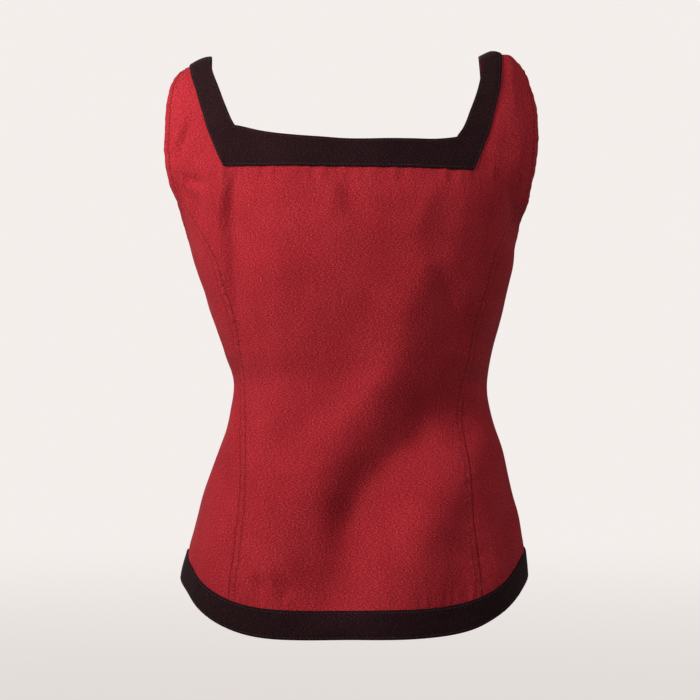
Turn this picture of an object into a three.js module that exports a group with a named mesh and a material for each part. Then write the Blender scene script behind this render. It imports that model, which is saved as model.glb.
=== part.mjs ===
// Square-neck bodice, hollow and filled out on its own. Millimetres, +Z up, the front faces -Y.
// Origin: midway between the undersides of the two straps on the shoulder line, where a wearer holds it up.
import * as THREE from 'three';

// ---- driving dimensions -------------------------------------------------------------------------
const CLOTH = 1.6; // thickness of a red panel
const BAND = 1.2; // thickness of a dark band
const GAP = 0.3; // left open at every seam and under every band
const LIP = 1.0; // how far a band stands past the cloth edge it covers
const HEM_BAND = 28.5; // height of the band at the lower edge
const UNDERARM = -176; // height of the lowest point of the armholes
const ARCH = -UNDERARM * Math.PI / 2; // length of the level scale from underarm to shoulder line
const RIDGE = UNDERARM + ARCH; // level of the shoulder line
const ARM_CENTRE = 3.6; // the two armholes sit this far towards the wearer's left
const HEM_SIDE = -530; // height of the lower edge at the sides
const HEM_DROP = { back: 49, front: 40 }; // how much lower it hangs at the middle of each face
const HEM_POINT = 2.05; // exponent of that drop
const HEM_TILT = -0.012; // the wearer's left hangs a little lower
const HEM_SQUARE = 2.35; // exponent of the rounded square along which the hem runs
const ARMHOLE_POINT = 2.4; // exponent of the rise of the armhole from under the arm to a seam
const RED = 0x99252d;
const DARK = 0x241316;
const ROUGHNESS = 0.9;

// ---- how finely curves and corners are worked out ------------------------------------------------
const NUDGE = { angle: 0.2, level: 0.4 }; // step to either side for the direction of a surface
const RIDGE_INSET = 0.5; // the form has no direction on the shoulder line itself
const HALVINGS = 40; // of the range in which a corner is looked for
const HEM_ROUNDS = 8; // in which the foot of a seam settles on the hem

// Cross-sections of the body. Above the underarm a level is a line on the arch, not a height.
const SECTIONS = table(['level', 'half', 'back', 'front', 'sway', 'square'], [
  [-600, 177.0, 124, 112, 0.0, 2.35],
  [-565, 176.5, 122, 112, 0.2, 2.35],
  [-525, 175.0, 117, 110, 0.4, 2.35],
  [-463, 162.0, 104, 104, -2.4, 2.30],
  [-401, 144.2, 92, 98, -5.9, 2.25],
  [-360, 133.6, 86, 96, -6.0, 2.20],
  [-330, 131.0, 86, 99, -5.0, 2.20],
  [-298, 138.5, 91, 108, -2.3, 2.25],
  [-257, 151.5, 99, 120, -1.3, 2.30],
  [-215, 162.5, 105, 124, 0.9, 2.35],
  [-176, 172.0, 107, 119, 3.1, 2.40],
  [-140, 190.0, 105, 113, 3.6, 2.40],
  [-100, 203.0, 98, 104, 3.6, 2.40],
  [-50, 207.0, 82, 88, 3.6, 2.40],
  [0, 204.0, 59, 63, 3.6, 2.40],
  [50, 198.0, 31, 34, 3.6, 2.40],
  [RIDGE, 193.0, 0, 0, 3.6, 2.40],
]);

// Height of the shoulder line across the body, wearer's right to left.
const SHOULDER = table(['x', 'z'], [
  [-200, -34], [-186, -24], [-176, -13.5], [-168, -3], [-160, 5], [-150, 5.8], [-140, 7.2],
  [-128, 2.0], [-105, 10], [-80, 22], [-40, 34], [0, 38], [40, 35], [80, 26], [115, 13],
  [136, 4.5], [147, 2.2], [157, 0.6], [168, -5], [183, -14.5], [200, -27],
]);

// Distance of the long seams from the middle, and the middle they are measured from.
const SEAM = {
  back: table(['level', 'x', 'centre'], [
    [-600, 124.0, 0], [-525, 123.5, 0], [-463, 117.0, 0], [-401, 114.0, 0], [-360, 113.5, 0],
    [-330, 116.0, 0], [-298, 120.5, 0], [-272, 125.5, 0], [-236, 136.0, 0], [-197, 147.0, 0.6],
    [-170, 162.0, 2], [-143, 179.0, ARM_CENTRE],
  ]),
  front: table(['level', 'x', 'centre'], [
    [-600, 118, 0], [-525, 116, 0], [-463, 112, -1], [-401, 107, -3], [-360, 104, -3],
    [-330, 105, -3], [-298, 111, -2], [-257, 126, 0], [-215, 145, 1], [-180, 158, 2.5],
    [-152, 166, ARM_CENTRE],
  ]),
};

// Edges of the straps at each level: neck edge, outer edge of the neck band, armhole. The first two
// are measured from 'centre'.
const STRAP = {
  back: table(['level', 'neck', 'band', 'arm', 'centre'], [
    [-143, 101, 115, 179, 6], [-120, 103, 123, 183.5, 6], [-95, 105.5, 133, 186.5, 6],
    [-77, 114, 139.5, 187.6, 6], [-52, 122, 146, 188, 6.5], [-15, 131, 153, 187.6, 7],
    [11, 135.5, 156, 186, 8], [43, 138, 158, 182, 9], [RIDGE, 138, 160, 176, 10],
  ]),
  front: table(['level', 'neck', 'band', 'arm', 'centre'], [
    [-176, 104, 122, 171, 6], [-168, 105, 124, 168.5, 6], [-152, 107, 130, 166, 6],
    [-141, 108.5, 134, 165.5, 6], [-125, 113, 139, 166, 6], [-100, 122, 147, 167.5, 6.5],
    [-72, 131, 154, 169.5, 7], [-50, 137, 159, 171.5, 7.5], [-15, 142, 162.5, 174.5, 8],
    [20, 142, 162.5, 176, 9], [60, 140, 161, 176.5, 9.5], [RIDGE, 138, 160, 176, 10],
  ]),
};

// Heights of the straight neck edge and of the lower edge of its band.
const NECK = {
  back: table(['x', 'edge', 'band'], [
    [-115, -87, -120.6], [-98, -89.5, -120.2], [-83, -91, -119.6], [-54, -91.5, -119],
    [-10, -92, -118.6], [34, -90, -118.2], [64, -87, -117.8], [93, -83, -117.2], [117, -77.6, -116.8],
    [131, -77, -116.7],
  ]),
  front: table(['x', 'edge', 'band'], [
    [-130, -137, -166], [-100, -138, -166.6], [0, -141, -169.5], [100, -138, -166.6], [140, -137, -166],
  ]),
};

// Where the rows of a panel's grid pass each of its upright lines.
const LEVELS = {
  back: { join: { edge: -143, band: -143, corner: -143 }, edge: { band: -120, neck: -95 } },
  front: { join: { edge: -152, band: -180, corner: -189 }, edge: { band: -140, neck: -124 } },
};
const SHARE = { edge: 1, band: 0.7, corner: 0.5, centre: 0 }; // of the angle from middle to seam

// Soft folds pressed into the panels. Depth is outwards. Reach is the half width to the wearer's left
// and to the right of the path, whose points run downwards in x and z.
const FOLDS = table(['face', 'depth', 'left', 'right', 'path'], [
  ['back', -16, 28, 41, [
    [-130, -336], [-106, -345], [-81, -369], [-48, -401], [-16, -430], [0, -457], [13, -496],
    [24, -547], [22, -570],
  ]],
  ['back', -8, 40, 29, [[-50, -420], [-30, -454], [-14, -489], [1, -540], [12, -570]]],
  ['back', 10, 49, 30, [[-74, -393], [-71, -446], [-65, -489], [-47, -548]]],
  ['back', 7, 20, 29, [[-50, -240], [-38, -308], [4, -369], [44, -397]]],
  ['back', -10.5, 50, 37, [[33, -412], [12, -470], [19, -535], [20, -565]]],
  ['back', -7, 8, 28, [[122, -120], [122, -161], [122, -200], [121, -244], [112, -300]]],
  ['back', -6, 13, 20, [[91, -372], [80, -396], [77, -420]]],
  ['back', 4, 11, 11, [[117, -347], [122, -386], [124, -420]]],
  ['back', -5, 10, 17, [[-79, -212], [-90, -244], [-95, -278]]],
  ['back', -5, 7, 13, [[-152, -132], [-160, -165], [-152, -200]]],
  ['front', -10, 34, 24, [[98, -292], [52, -330], [12, -360], [-14, -398]]],
  ['front', -9, 20, 36, [[-104, -306], [-64, -350], [-36, -410], [-28, -470]]],
  ['front', 6, 22, 22, [[-84, -360], [-62, -440], [-52, -530]]],
  ['front', -8, 18, 34, [[74, -350], [58, -430], [60, -540]]],
  ['front', 5, 20, 20, [[36, -400], [24, -460], [20, -530]]],
  ['front', -5, 12, 18, [[124, -165], [104, -200], [92, -240]]],
  ['front', -5, 18, 12, [[-122, -160], [-108, -205], [-90, -236]]],
]);
const FOLD_STEPS = 5; // short straight steps from one point of a fold's path to the next
const FOLD_ENDS = 0.25; // share of a fold's depth left at its two ends
const FADE = 30; // distance from the side line over which the folds fade in

// Grid of a panel: cells between its upright lines, and the numbers of its key rows.
const CELLS = { 'band edge': 3, 'band corner': 3, 'centre corner': 11, 'corner corner': 22 };
const ROW = { hemBand: 2, join: 26, band: 28, neck: 31, ridge: 47 };
const SIDE_CELLS = 9;
const HEM_JOIN = { '-1': 4, 1: 5 }; // column of a side panel at which the hem band is joined

// ---- small helpers ------------------------------------------------------------------------------
function table(names, rows) {
  return rows.map((row) => Object.fromEntries(names.map((name, k) => [name, row[k]])));
}

function mix(a, b, t) {
  return a + (b - a) * t;
}

function clamp(value, low, high) {
  return Math.min(high, Math.max(low, value));
}

/** Reads a column of a table at a value of its first column, on a smooth curve through the rows. */
function read(rows, key, name, at) {
  const value = clamp(at, rows[0][key], rows[rows.length - 1][key]);
  let k = 0;
  while (k < rows.length - 2 && value > rows[k + 1][key]) k += 1;
  const slope = (i) => (rows[i + 1][name] - rows[i][name]) / (rows[i + 1][key] - rows[i][key]);
  const tangent = (i) => {
    if (i === 0) return slope(0);
    if (i === rows.length - 1) return slope(i - 1);
    const before = rows[i][key] - rows[i - 1][key];
    const after = rows[i + 1][key] - rows[i][key];
    return (slope(i - 1) * after + slope(i) * before) / (before + after);
  };
  const h = rows[k + 1][key] - rows[k][key];
  const t = (value - rows[k][key]) / h;
  const from = (2 * t ** 3 - 3 * t ** 2 + 1) * rows[k][name] + (t ** 3 - 2 * t ** 2 + t) * h * tangent(k);
  const to = (3 * t ** 2 - 2 * t ** 3) * rows[k + 1][name] + (t ** 3 - t ** 2) * h * tangent(k + 1);
  return from + to;
}

// ---- the body's form ----------------------------------------------------------------------------
// A place on the form is an angle (0 at the middle of the back, 90 at the wearer's left, 180 at the
// middle of the front) and a level.

function section(level) {
  const at = (name) => read(SECTIONS, 'level', name, level);
  return {
    half: at('half'), back: at('back'), front: at('front'), sway: at('sway'), square: at('square'),
  };
}

/** Sine and cosine of a rounded square instead of a circle. */
function rounded(angle, square) {
  const s = Math.sin(THREE.MathUtils.degToRad(angle));
  const c = Math.cos(THREE.MathUtils.degToRad(angle));
  const size = (Math.abs(s) ** square + Math.abs(c) ** square) ** (-1 / square);
  return { across: s * size, along: c * size };
}

/** Point of the plain form, before any fold. */
function form(angle, level) {
  const at = section(level);
  const { across, along } = rounded(angle, at.square);
  const x = at.half * across + at.sway;
  const y = (along > 0 ? at.back : at.front) * along;
  if (level <= UNDERARM) return new THREE.Vector3(x, y, level);
  const rise = Math.sin(Math.min(1, (level - UNDERARM) / ARCH) * Math.PI / 2);
  return new THREE.Vector3(x, y, UNDERARM + (read(SHOULDER, 'x', 'z', x) - UNDERARM) * rise);
}

/** The angle at which the form passes x on a level of the back or the front. */
function angleAt(face, x, level) {
  const at = section(level);
  const across = clamp((x - at.sway) / at.half, -1, 1);
  const along = (1 - Math.abs(across) ** at.square) ** (1 / at.square);
  return THREE.MathUtils.radToDeg(Math.atan2(across, face === 'back' ? along : -along));
}

/** A path of a few points as a smooth line of many. */
function smooth(path) {
  const knots = path.map(([x, z], k) => ({ k, x, z }));
  return Array.from({ length: (path.length - 1) * FOLD_STEPS + 1 }, (_, i) => {
    const at = i / FOLD_STEPS;
    return { x: read(knots, 'k', 'x', at), z: read(knots, 'k', 'z', at) };
  });
}
for (const fold of FOLDS) fold.line = smooth(fold.path);

/** Distance from a point to a line, how far along it that is, and how far to the wearer's left. */
function nearest(line, { x, z }) {
  let best = { distance: Infinity, along: 0, aside: 0 };
  for (let k = 0; k < line.length - 1; k += 1) {
    const a = line[k];
    const run = { x: line[k + 1].x - a.x, z: line[k + 1].z - a.z };
    const length = Math.hypot(run.x, run.z);
    const t = clamp(((x - a.x) * run.x + (z - a.z) * run.z) / length ** 2, 0, 1);
    const distance = Math.hypot(x - a.x - t * run.x, z - a.z - t * run.z);
    if (distance >= best.distance) continue;
    const aside = (run.x * (z - a.z) - run.z * (x - a.x)) / length;
    best = { distance, aside, along: (k + t) / (line.length - 1) };
  }
  return best;
}

/** How far the folds move a point of the form outwards. */
function press(point) {
  const face = point.y > 0 ? 'back' : 'front';
  let depth = 0;
  for (const fold of FOLDS) {
    if (fold.face !== face) continue;
    const { distance, along, aside } = nearest(fold.line, point);
    const reach = aside > 0 ? fold.left : fold.right;
    const off = (aside / reach) ** 2 + (distance ** 2 - aside ** 2) / (fold.left * fold.right);
    depth += fold.depth * mix(FOLD_ENDS, 1, Math.sin(Math.PI * along)) * Math.exp(-off);
  }
  return depth * clamp(Math.abs(point.y) / FADE, 0, 1);
}

/** Outward direction of a surface given as a function of angle and level. */
function outward(surface, angle, level) {
  const turn = surface(angle + NUDGE.angle, level).sub(surface(angle - NUDGE.angle, level));
  const climb = surface(angle, level + NUDGE.level).sub(surface(angle, level - NUDGE.level));
  return climb.cross(turn).normalize();
}

/** Outer face of the red cloth, folds and all. */
function skin(angle, level) {
  const point = form(angle, level);
  return point.addScaledVector(outward(form, angle, level), press(point));
}

/** Millimetres of surface for one degree and for one unit of level. */
function stretch({ angle, level }) {
  return {
    angle: form(angle + 0.5, level).distanceTo(form(angle - 0.5, level)),
    level: form(angle, level).distanceTo(form(angle, level - 1)),
  };
}

/** Moves a place by millimetres on the surface. */
function slide(place, turn, climb) {
  const per = stretch(place);
  return { angle: place.angle + turn / per.angle, level: place.level + climb / per.level };
}

function between(a, b, t) {
  return { angle: mix(a.angle, b.angle, t), level: mix(a.level, b.level, t) };
}

/** The level, somewhere below the shoulder line, above which a condition on the level holds. */
function levelWhere(above) {
  let low = UNDERARM - HEM_BAND;
  let high = RIDGE;
  for (let k = 0; k < HALVINGS; k += 1) {
    const level = (low + high) / 2;
    if (above(level)) high = level;
    else low = level;
  }
  return (low + high) / 2;
}

// ---- pattern lines ------------------------------------------------------------------------------
const centreOf = (face, side) => (face === 'back' ? 0 : 180 * side);
const inwards = (face, side) => (face === 'back' ? -side : side);

/** Lower edge of the whole garment at an angle. */
function hem(angle) {
  const { across, along } = rounded(angle, HEM_SQUARE);
  const drop = along > 0 ? HEM_DROP.back : HEM_DROP.front;
  const tilt = HEM_TILT * across * SECTIONS[0].half;
  return HEM_SIDE + tilt - drop * Math.sin(Math.abs(along) ** HEM_POINT * Math.PI / 2);
}

/** Angle of a long seam. */
function seamAngle(face, side, level) {
  const x = side * read(SEAM[face], 'level', 'x', level) + read(SEAM[face], 'level', 'centre', level);
  return angleAt(face, x, level);
}

function seamHem(face, side) {
  let level = HEM_SIDE;
  for (let k = 0; k < HEM_ROUNDS; k += 1) level = hem(seamAngle(face, side, level));
  return level;
}

/** A strap line (neck, band or arm) at a level. */
function strapPlace(face, side, name, level) {
  const centre = name === 'arm' ? ARM_CENTRE : read(STRAP[face], 'level', 'centre', level);
  const x = side * read(STRAP[face], 'level', name, level) + centre;
  return { angle: angleAt(face, x, level), level };
}

/** Whether a place is above one of the two lines across the neck. */
function aboveNeck(face, heightLine, { angle, level }) {
  const point = form(angle, level);
  return point.z > read(NECK[face], 'x', heightLine, point.x);
}

/** Corner where a strap line meets a line across the neck. */
function neckCorner(face, side, strapLine, heightLine) {
  const at = (level) => strapPlace(face, side, strapLine, level);
  return at(levelWhere((level) => aboveNeck(face, heightLine, at(level))));
}

/** Level of row 'row' of a column that stands on 'foot' and reaches 'top' at the join row. */
function bodyLevel(foot, top, row) {
  if (row <= ROW.hemBand) return foot + mix(LIP, HEM_BAND, row / ROW.hemBand);
  return mix(foot + HEM_BAND, top, (row - ROW.hemBand) / (ROW.join - ROW.hemBand));
}

/** An upright line of a strapped panel: where it crosses the rows of the grid. */
function uprightLine(face, side, name) {
  const { join, edge } = LEVELS[face];
  const foot = seamHem(face, side);
  const centre = centreOf(face, side);
  const seam = (row) => seamAngle(face, side, bodyLevel(foot, join.edge, row));
  const line = { side, name, join: join[name] ?? join.corner };
  line.angle = (row) => mix(centre, seam(row), SHARE[name]);
  if (name === 'centre') {
    line.band = { angle: centre };
    line.neck = { angle: centre };
    return line;
  }
  const kind = { edge: 'arm', band: 'band', corner: 'neck' }[name];
  const corner = neckCorner(face, side, 'neck', 'edge');
  if (name === 'edge') {
    line.band = strapPlace(face, side, 'arm', edge.band);
    line.neck = strapPlace(face, side, 'arm', edge.neck);
  } else {
    line.band = neckCorner(face, side, kind, 'band');
    line.neck = corner;
    if (name === 'band') line.neck = strapPlace(face, side, name, mix(corner.level, edge.neck, 0.5));
  }
  const end = RIDGE - GAP / 2 / stretch({ angle: corner.angle, level: RIDGE }).level;
  line.strap = (row) => {
    const level = mix(line.neck.level, end, (row - ROW.neck) / (ROW.ridge - ROW.neck));
    return strapPlace(face, side, kind, level);
  };
  return line;
}

/** A column of a panel's grid, some way between two upright lines: its place at any row. */
function column(face, from, to, share) {
  const angle = (row) => mix(from.angle(row), to.angle(row), share);
  const foot = hem(angle(0));
  const top = mix(from.join, to.join, share);
  const strap = Boolean(from.strap && to.strap) && from.side === to.side;
  const across = (key, height) => {
    if (strap) return between(from[key], to[key], share);
    const at = mix(from[key].angle, to[key].angle, share);
    return { angle: at, level: levelWhere((level) => aboveNeck(face, height, { angle: at, level })) };
  };
  const join = { angle: angle(ROW.join), level: top };
  const band = across('band', 'band');
  const neck = across('neck', 'edge');
  const place = (row) => {
    if (row <= ROW.join) return { angle: angle(row), level: bodyLevel(foot, top, row) };
    if (row <= ROW.band) return between(join, band, (row - ROW.join) / (ROW.band - ROW.join));
    if (row <= ROW.neck) return between(band, neck, (row - ROW.band) / (ROW.neck - ROW.band));
    return share === 0 ? from.strap(row) : between(from.strap(row), to.strap(row), share);
  };
  return { place, strap };
}

/** Grid of a panel with straps: the whole back, or one half of the front. Columns run with the angle. */
function strappedGrid(face, side) {
  const names = ['edge', 'band', 'corner'];
  const right = names.map((name) => uprightLine(face, -1, name));
  const left = names.map((name) => uprightLine(face, 1, name));
  let lines = [...right, ...left.reverse()];
  if (face === 'front') {
    const own = side > 0 ? left.reverse() : right;
    const centre = uprightLine(face, side, 'centre');
    lines = side > 0 ? [...own, centre] : [centre, ...own.reverse()];
  }
  const columns = [];
  for (let k = 0; k < lines.length - 1; k += 1) {
    const key = [lines[k].name, lines[k + 1].name].sort().join(' ');
    for (let i = 0; i < CELLS[key]; i += 1) {
      columns.push(column(face, lines[k], lines[k + 1], i / CELLS[key]));
    }
  }
  columns.push(column(face, lines[lines.length - 2], lines[lines.length - 1], 1));
  const last = columns.length - 1;
  const trim = (index) => (index === 0 ? GAP / 2 : index === last ? -GAP / 2 : 0);
  return {
    columns: last,
    place: (index, row) => slide(columns[index].place(row), trim(index), 0),
    has: (index, row) => row < ROW.neck || columns[index].strap,
  };
}

/** Grid of a side panel, from the back seam round under the arm to the front seam. */
function sideGrid(side) {
  const feet = { back: seamHem('back', side), front: seamHem('front', side) };
  const edge = (face, row) => seamAngle(face, side, bodyLevel(feet[face], LEVELS[face].join.edge, row));
  const low = (90 * side - edge('back', ROW.join)) / (edge('front', ROW.join) - edge('back', ROW.join));
  const armhole = (share) => {
    const face = share < low ? 'back' : 'front';
    const away = share < low ? (low - share) / low : (share - low) / (1 - low);
    return mix(UNDERARM, LEVELS[face].join.edge, away ** ARMHOLE_POINT);
  };
  const place = (index, row) => {
    const share = side > 0 ? index / SIDE_CELLS : 1 - index / SIDE_CELLS;
    const angle = (at) => mix(edge('back', at), edge('front', at), share);
    const spot = { angle: angle(row), level: bodyLevel(hem(angle(0)), armhole(share), row) };
    return slide(spot, index === 0 ? GAP / 2 : index === SIDE_CELLS ? -GAP / 2 : 0, 0);
  };
  return { columns: SIDE_CELLS, place, has: (index, row) => row < ROW.join };
}

// ---- cloth: a closed wall from faces on the skin ------------------------------------------------
/** The origin's place on the form: midway between the undersides of the two straps. */
function hang() {
  const ends = [1, -1].map((side) => {
    const edges = ['neck', 'arm'].map((name) => strapPlace('back', side, name, RIDGE).angle);
    const angle = mix(edges[0], edges[1], 0.5);
    return form(angle, RIDGE).addScaledVector(outward(form, angle, RIDGE - RIDGE_INSET), -CLOTH);
  });
  return ends[0].add(ends[1]).multiplyScalar(0.5);
}
const ORIGIN = hang();

/** Collects faces between places on the skin and closes them into a wall of even thickness. */
class Cloth {
  constructor() {
    this.places = new Map();
    this.faces = [];
  }

  /** Adds the cells of a grid. Both functions take a column and a row; 'has' may ask for part of a cell. */
  grid(columns, rows, place, has) {
    for (let i = 0; i < columns; i += 1) {
      for (let j = 0; j < rows; j += 1) {
        const corners = [[i, j], [i, j + 1], [i + 1, j + 1], [i + 1, j]].filter((at) => has(at, [i, j]));
        const keys = corners.map((at) => at.join(' '));
        if (keys.length < 3) continue;
        keys.forEach((key, k) => this.places.has(key) || this.places.set(key, place(...corners[k])));
        this.faces.push([keys[0], keys[1], keys[2]]);
        if (keys.length === 4) this.faces.push([keys[0], keys[2], keys[3]]);
      }
    }
    return this;
  }

  /** The wall between two distances out from the skin. */
  wall(outer, inner) {
    const index = new Map();
    const positions = [];
    for (const [key, { angle, level }] of this.places) {
      index.set(key, index.size);
      const point = skin(angle, level).sub(ORIGIN);
      const normal = outward(skin, angle, level);
      positions.push(...point.clone().addScaledVector(normal, outer).toArray());
      positions.push(...point.addScaledVector(normal, inner).toArray());
    }
    const faces = this.faces.map((keys) => keys.map((key) => index.get(key)));
    const open = new Map();
    for (const [a, b, c] of faces) {
      for (const [p, q] of [[a, b], [b, c], [c, a]]) {
        if (!open.delete(`${q} ${p}`)) open.set(`${p} ${q}`, [p, q]);
      }
    }
    const triangles = faces.flatMap(([a, b, c]) => [2 * a, 2 * b, 2 * c, 2 * a + 1, 2 * c + 1, 2 * b + 1]);
    for (const [p, q] of open.values()) {
      triangles.push(2 * q, 2 * p, 2 * p + 1, 2 * q, 2 * p + 1, 2 * q + 1);
    }
    const geometry = new THREE.BufferGeometry();
    geometry.setAttribute('position', new THREE.Float32BufferAttribute(positions, 3));
    geometry.setIndex(triangles);
    geometry.computeVertexNormals();
    return geometry;
  }
}

// ---- pieces -------------------------------------------------------------------------------------
const bodice = new THREE.Group();
bodice.name = 'bodice';

function addPiece(name, geometry, colour) {
  const material = new THREE.MeshStandardMaterial({ color: colour, roughness: ROUGHNESS });
  material.name = name;
  const mesh = new THREE.Mesh(geometry, material);
  mesh.name = name;
  bodice.add(mesh);
}

/** A red panel: every cell of its grid that is cloth. */
function addPanel(name, grid, rows) {
  const cloth = new Cloth().grid(grid.columns, rows, grid.place, (at, cell) => grid.has(...cell));
  addPiece(name, cloth.wall(0, -CLOTH), RED);
}

/** A dark band: a grid of places taken from the panels below it. */
function addBand(name, columns, rows, place, has = () => true) {
  addPiece(name, new Cloth().grid(columns, rows, place, has).wall(GAP + BAND, GAP), DARK);
}

const backGrid = strappedGrid('back');
const SIDES = [{ word: 'left', side: 1 }, { word: 'right', side: -1 }];
const frontGrids = new Map(SIDES.map(({ side }) => [side, strappedGrid('front', side)]));
const sideGrids = new Map(SIDES.map(({ side }) => [side, sideGrid(side)]));

addPanel('back_panel', backGrid, ROW.ridge);
for (const { word, side } of SIDES) {
  addPanel(`side_panel_${word}`, sideGrids.get(side), ROW.join);
  addPanel(`front_panel_${word}`, frontGrids.get(side), ROW.ridge);
}

// Neck bands: strips across the back and each half of the front, mitred to strips over the straps.
const DEEP = ROW.neck - ROW.band; // cells across a neck band
const MITRE = 0.22; // each strip's step back from a mitre
const EDGE = CELLS['band edge'];
const CORNER = EDGE + CELLS['band corner'];
const BACK_END = 2 * CORNER + CELLS['corner corner'];
const FRONT_END = CORNER + CELLS['centre corner'];
const LINE = { // columns of the band's outer edge and of the neck corner
  back: {
    '-1': { band: EDGE, corner: CORNER },
    1: { band: BACK_END - EDGE, corner: BACK_END - CORNER },
  },
  front: {
    '-1': { band: FRONT_END - EDGE, corner: FRONT_END - CORNER },
    1: { band: EDGE, corner: CORNER },
  },
};

/** A straight strip under the neck opening: rows from its lower edge up, narrowing at each mitre. */
function addNeckStrip(name, grid, ends) {
  const towards = (end) => Math.sign(end.corner - end.band);
  const inside = ([i, j]) => ends.every((end) => (i - end.band - towards(end) * j) * towards(end) >= 0);
  const place = (i, j) => {
    const end = ends.find(({ band, corner }) => i === band + Math.sign(corner - band) * j);
    const climb = j === DEEP ? LIP : 0;
    const turn = end ? towards(end) * (MITRE + (j === DEEP ? LIP : 0)) : 0;
    return slide(grid.place(i, ROW.band + j), turn, climb);
  };
  addBand(name, grid.columns, DEEP, place, inside);
}

addNeckStrip('neck_band_back', backGrid, [LINE.back['-1'], LINE.back['1']]);
for (const { word, side } of SIDES) {
  addNeckStrip(`neck_band_front_${word}`, frontGrids.get(side), [LINE.front[side]]);
}

/** The strip over a strap, from the mitre at the back over the shoulder to the mitre in front. */
function addStrapStrip(name, side) {
  const climbRows = ROW.ridge - ROW.band;
  const rows = 2 * climbRows;
  const fromBand = (i) => (side > 0 ? DEEP - i : i);
  const place = (i, j) => {
    const face = j <= climbRows ? 'back' : 'front';
    const grid = face === 'back' ? backGrid : frontGrids.get(side);
    const { band, corner } = LINE[face][side];
    const row = j <= climbRows ? ROW.band + j : ROW.ridge - (j - climbRows);
    const spot = grid.place(band + Math.sign(corner - band) * fromBand(i), row);
    if (row === ROW.ridge) spot.level = RIDGE;
    const mitre = row - ROW.band === fromBand(i) ? MITRE : 0;
    const lip = fromBand(i) === DEEP ? LIP : 0;
    return slide(spot, inwards(face, side) * lip, mitre + (mitre ? lip : 0));
  };
  const has = ([i, j]) => Math.min(j, rows - j) >= fromBand(i);
  addBand(name, DEEP, rows, place, has);
}

for (const { word, side } of SIDES) addStrapStrip(`strap_band_${word}`, side);

/** The hem band in three pieces, joined under the arms and open at the middle of the front. */
function addHemBands() {
  const ring = [];
  const grids = [frontGrids.get(-1), sideGrids.get(-1), backGrid, sideGrids.get(1), frontGrids.get(1)];
  for (const grid of grids) {
    for (let i = ring.length ? 1 : 0; i <= grid.columns; i += 1) ring.push({ grid, i });
  }
  const atJoin = (side) => ({ grid, i }) => grid === sideGrids.get(side) && i === HEM_JOIN[side];
  const joins = [-1, 1].map((side) => ring.findIndex(atJoin(side)));
  const bounds = [0, ...joins, ring.length - 1];
  ['hem_band_front_right', 'hem_band_back', 'hem_band_front_left'].forEach((name, piece) => {
    const first = bounds[piece];
    const count = bounds[piece + 1] - first;
    const trim = (i) => {
      if (i === 0 && piece > 0) return GAP / 2;
      return i === count && piece < 2 ? -GAP / 2 : 0;
    };
    const place = (i, j) => {
      const { grid, i: index } = ring[first + i];
      return slide(grid.place(index, j), trim(i), j === 0 ? -LIP : 0);
    };
    addBand(name, count, ROW.hemBand, place);
  });
}
addHemBands();

export default bodice;
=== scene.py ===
# %% [markdown]
# # A square-neck bodice
#
# The bodice is cut from heavy red canvas in five panels: a wide back, two side panels and two front
# halves. The straps are cut in one with the back and the fronts and meet on the shoulder line. Dark
# canvas bands are laid over the neck edge, the straps and the lower edge, and are sewn down.
#
# Each piece could be drawn by hand, but then the seams would never quite meet. Here one rule gives the
# whole filled-out form, and every panel, band and stitch is placed on that form by an angle round the
# body and a level up it. Whatever shares an edge then shares it exactly.

import bpy
import numpy as np
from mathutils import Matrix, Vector


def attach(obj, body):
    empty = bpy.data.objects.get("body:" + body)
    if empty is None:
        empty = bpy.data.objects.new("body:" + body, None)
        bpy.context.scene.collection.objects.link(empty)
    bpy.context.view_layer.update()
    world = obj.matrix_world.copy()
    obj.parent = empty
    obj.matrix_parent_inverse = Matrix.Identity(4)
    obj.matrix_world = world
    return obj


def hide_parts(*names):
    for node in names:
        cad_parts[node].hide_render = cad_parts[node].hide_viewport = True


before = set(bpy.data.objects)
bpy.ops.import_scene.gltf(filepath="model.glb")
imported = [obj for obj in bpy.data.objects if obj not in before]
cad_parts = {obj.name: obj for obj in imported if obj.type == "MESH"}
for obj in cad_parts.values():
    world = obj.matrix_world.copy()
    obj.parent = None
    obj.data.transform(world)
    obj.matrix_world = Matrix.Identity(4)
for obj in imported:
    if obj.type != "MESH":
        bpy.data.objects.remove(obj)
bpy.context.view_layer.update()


# %% [markdown]
# ## Driving dimensions
#
# A maker works from a few measures: how thick the cloth is, how wide the bands are, how low the armholes
# reach and where the hem sits. They are given in millimetres, the unit a pattern is drawn in, and become
# metres only when a mesh is made.

# %% Driving dimensions
MM = 0.001
# thickness of a panel and of a band, and the air between them
CLOTH = 1.6
BAND = 1.2
GAP = 0.3
# the slit between two panels, how far a band stands past a panel's edge, and the hem band's width
SEAM_GAP = 0.02
LIP = 1.0
HEM_BAND = 28.5
# the level of the underarm, the length of the arch above it, the shoulder line, the armholes' middle
UNDERARM = -176
ARCH = -UNDERARM * np.pi / 2
RIDGE = UNDERARM + ARCH
ARM_CENTRE = 3.6
# the lower edge: its height at the sides, its dips, how pointed they are, and its lean to one side
HEM_SIDE = -530
HEM_DROP = {"back": 49, "front": 40}
HEM_POINT = 2.05
HEM_TILT = -0.012
HEM_SQUARE = 2.35
SIDES = {"left": 1, "right": -1}
print(f"shoulder line at level {RIDGE:.1f}")

# %% [markdown]
# ## Tables that are read on a smooth curve
#
# A body's girth changes smoothly between the few heights where a tailor measures it. A table holds those
# heights, and `read` runs a smooth curve through its rows, so a short table gives a soft shape.

# %% Tables


def columns(names, rows):
    """A table as named columns; it is read by its first one."""
    return dict(zip(names.split(), np.array(rows, float).T))


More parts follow.
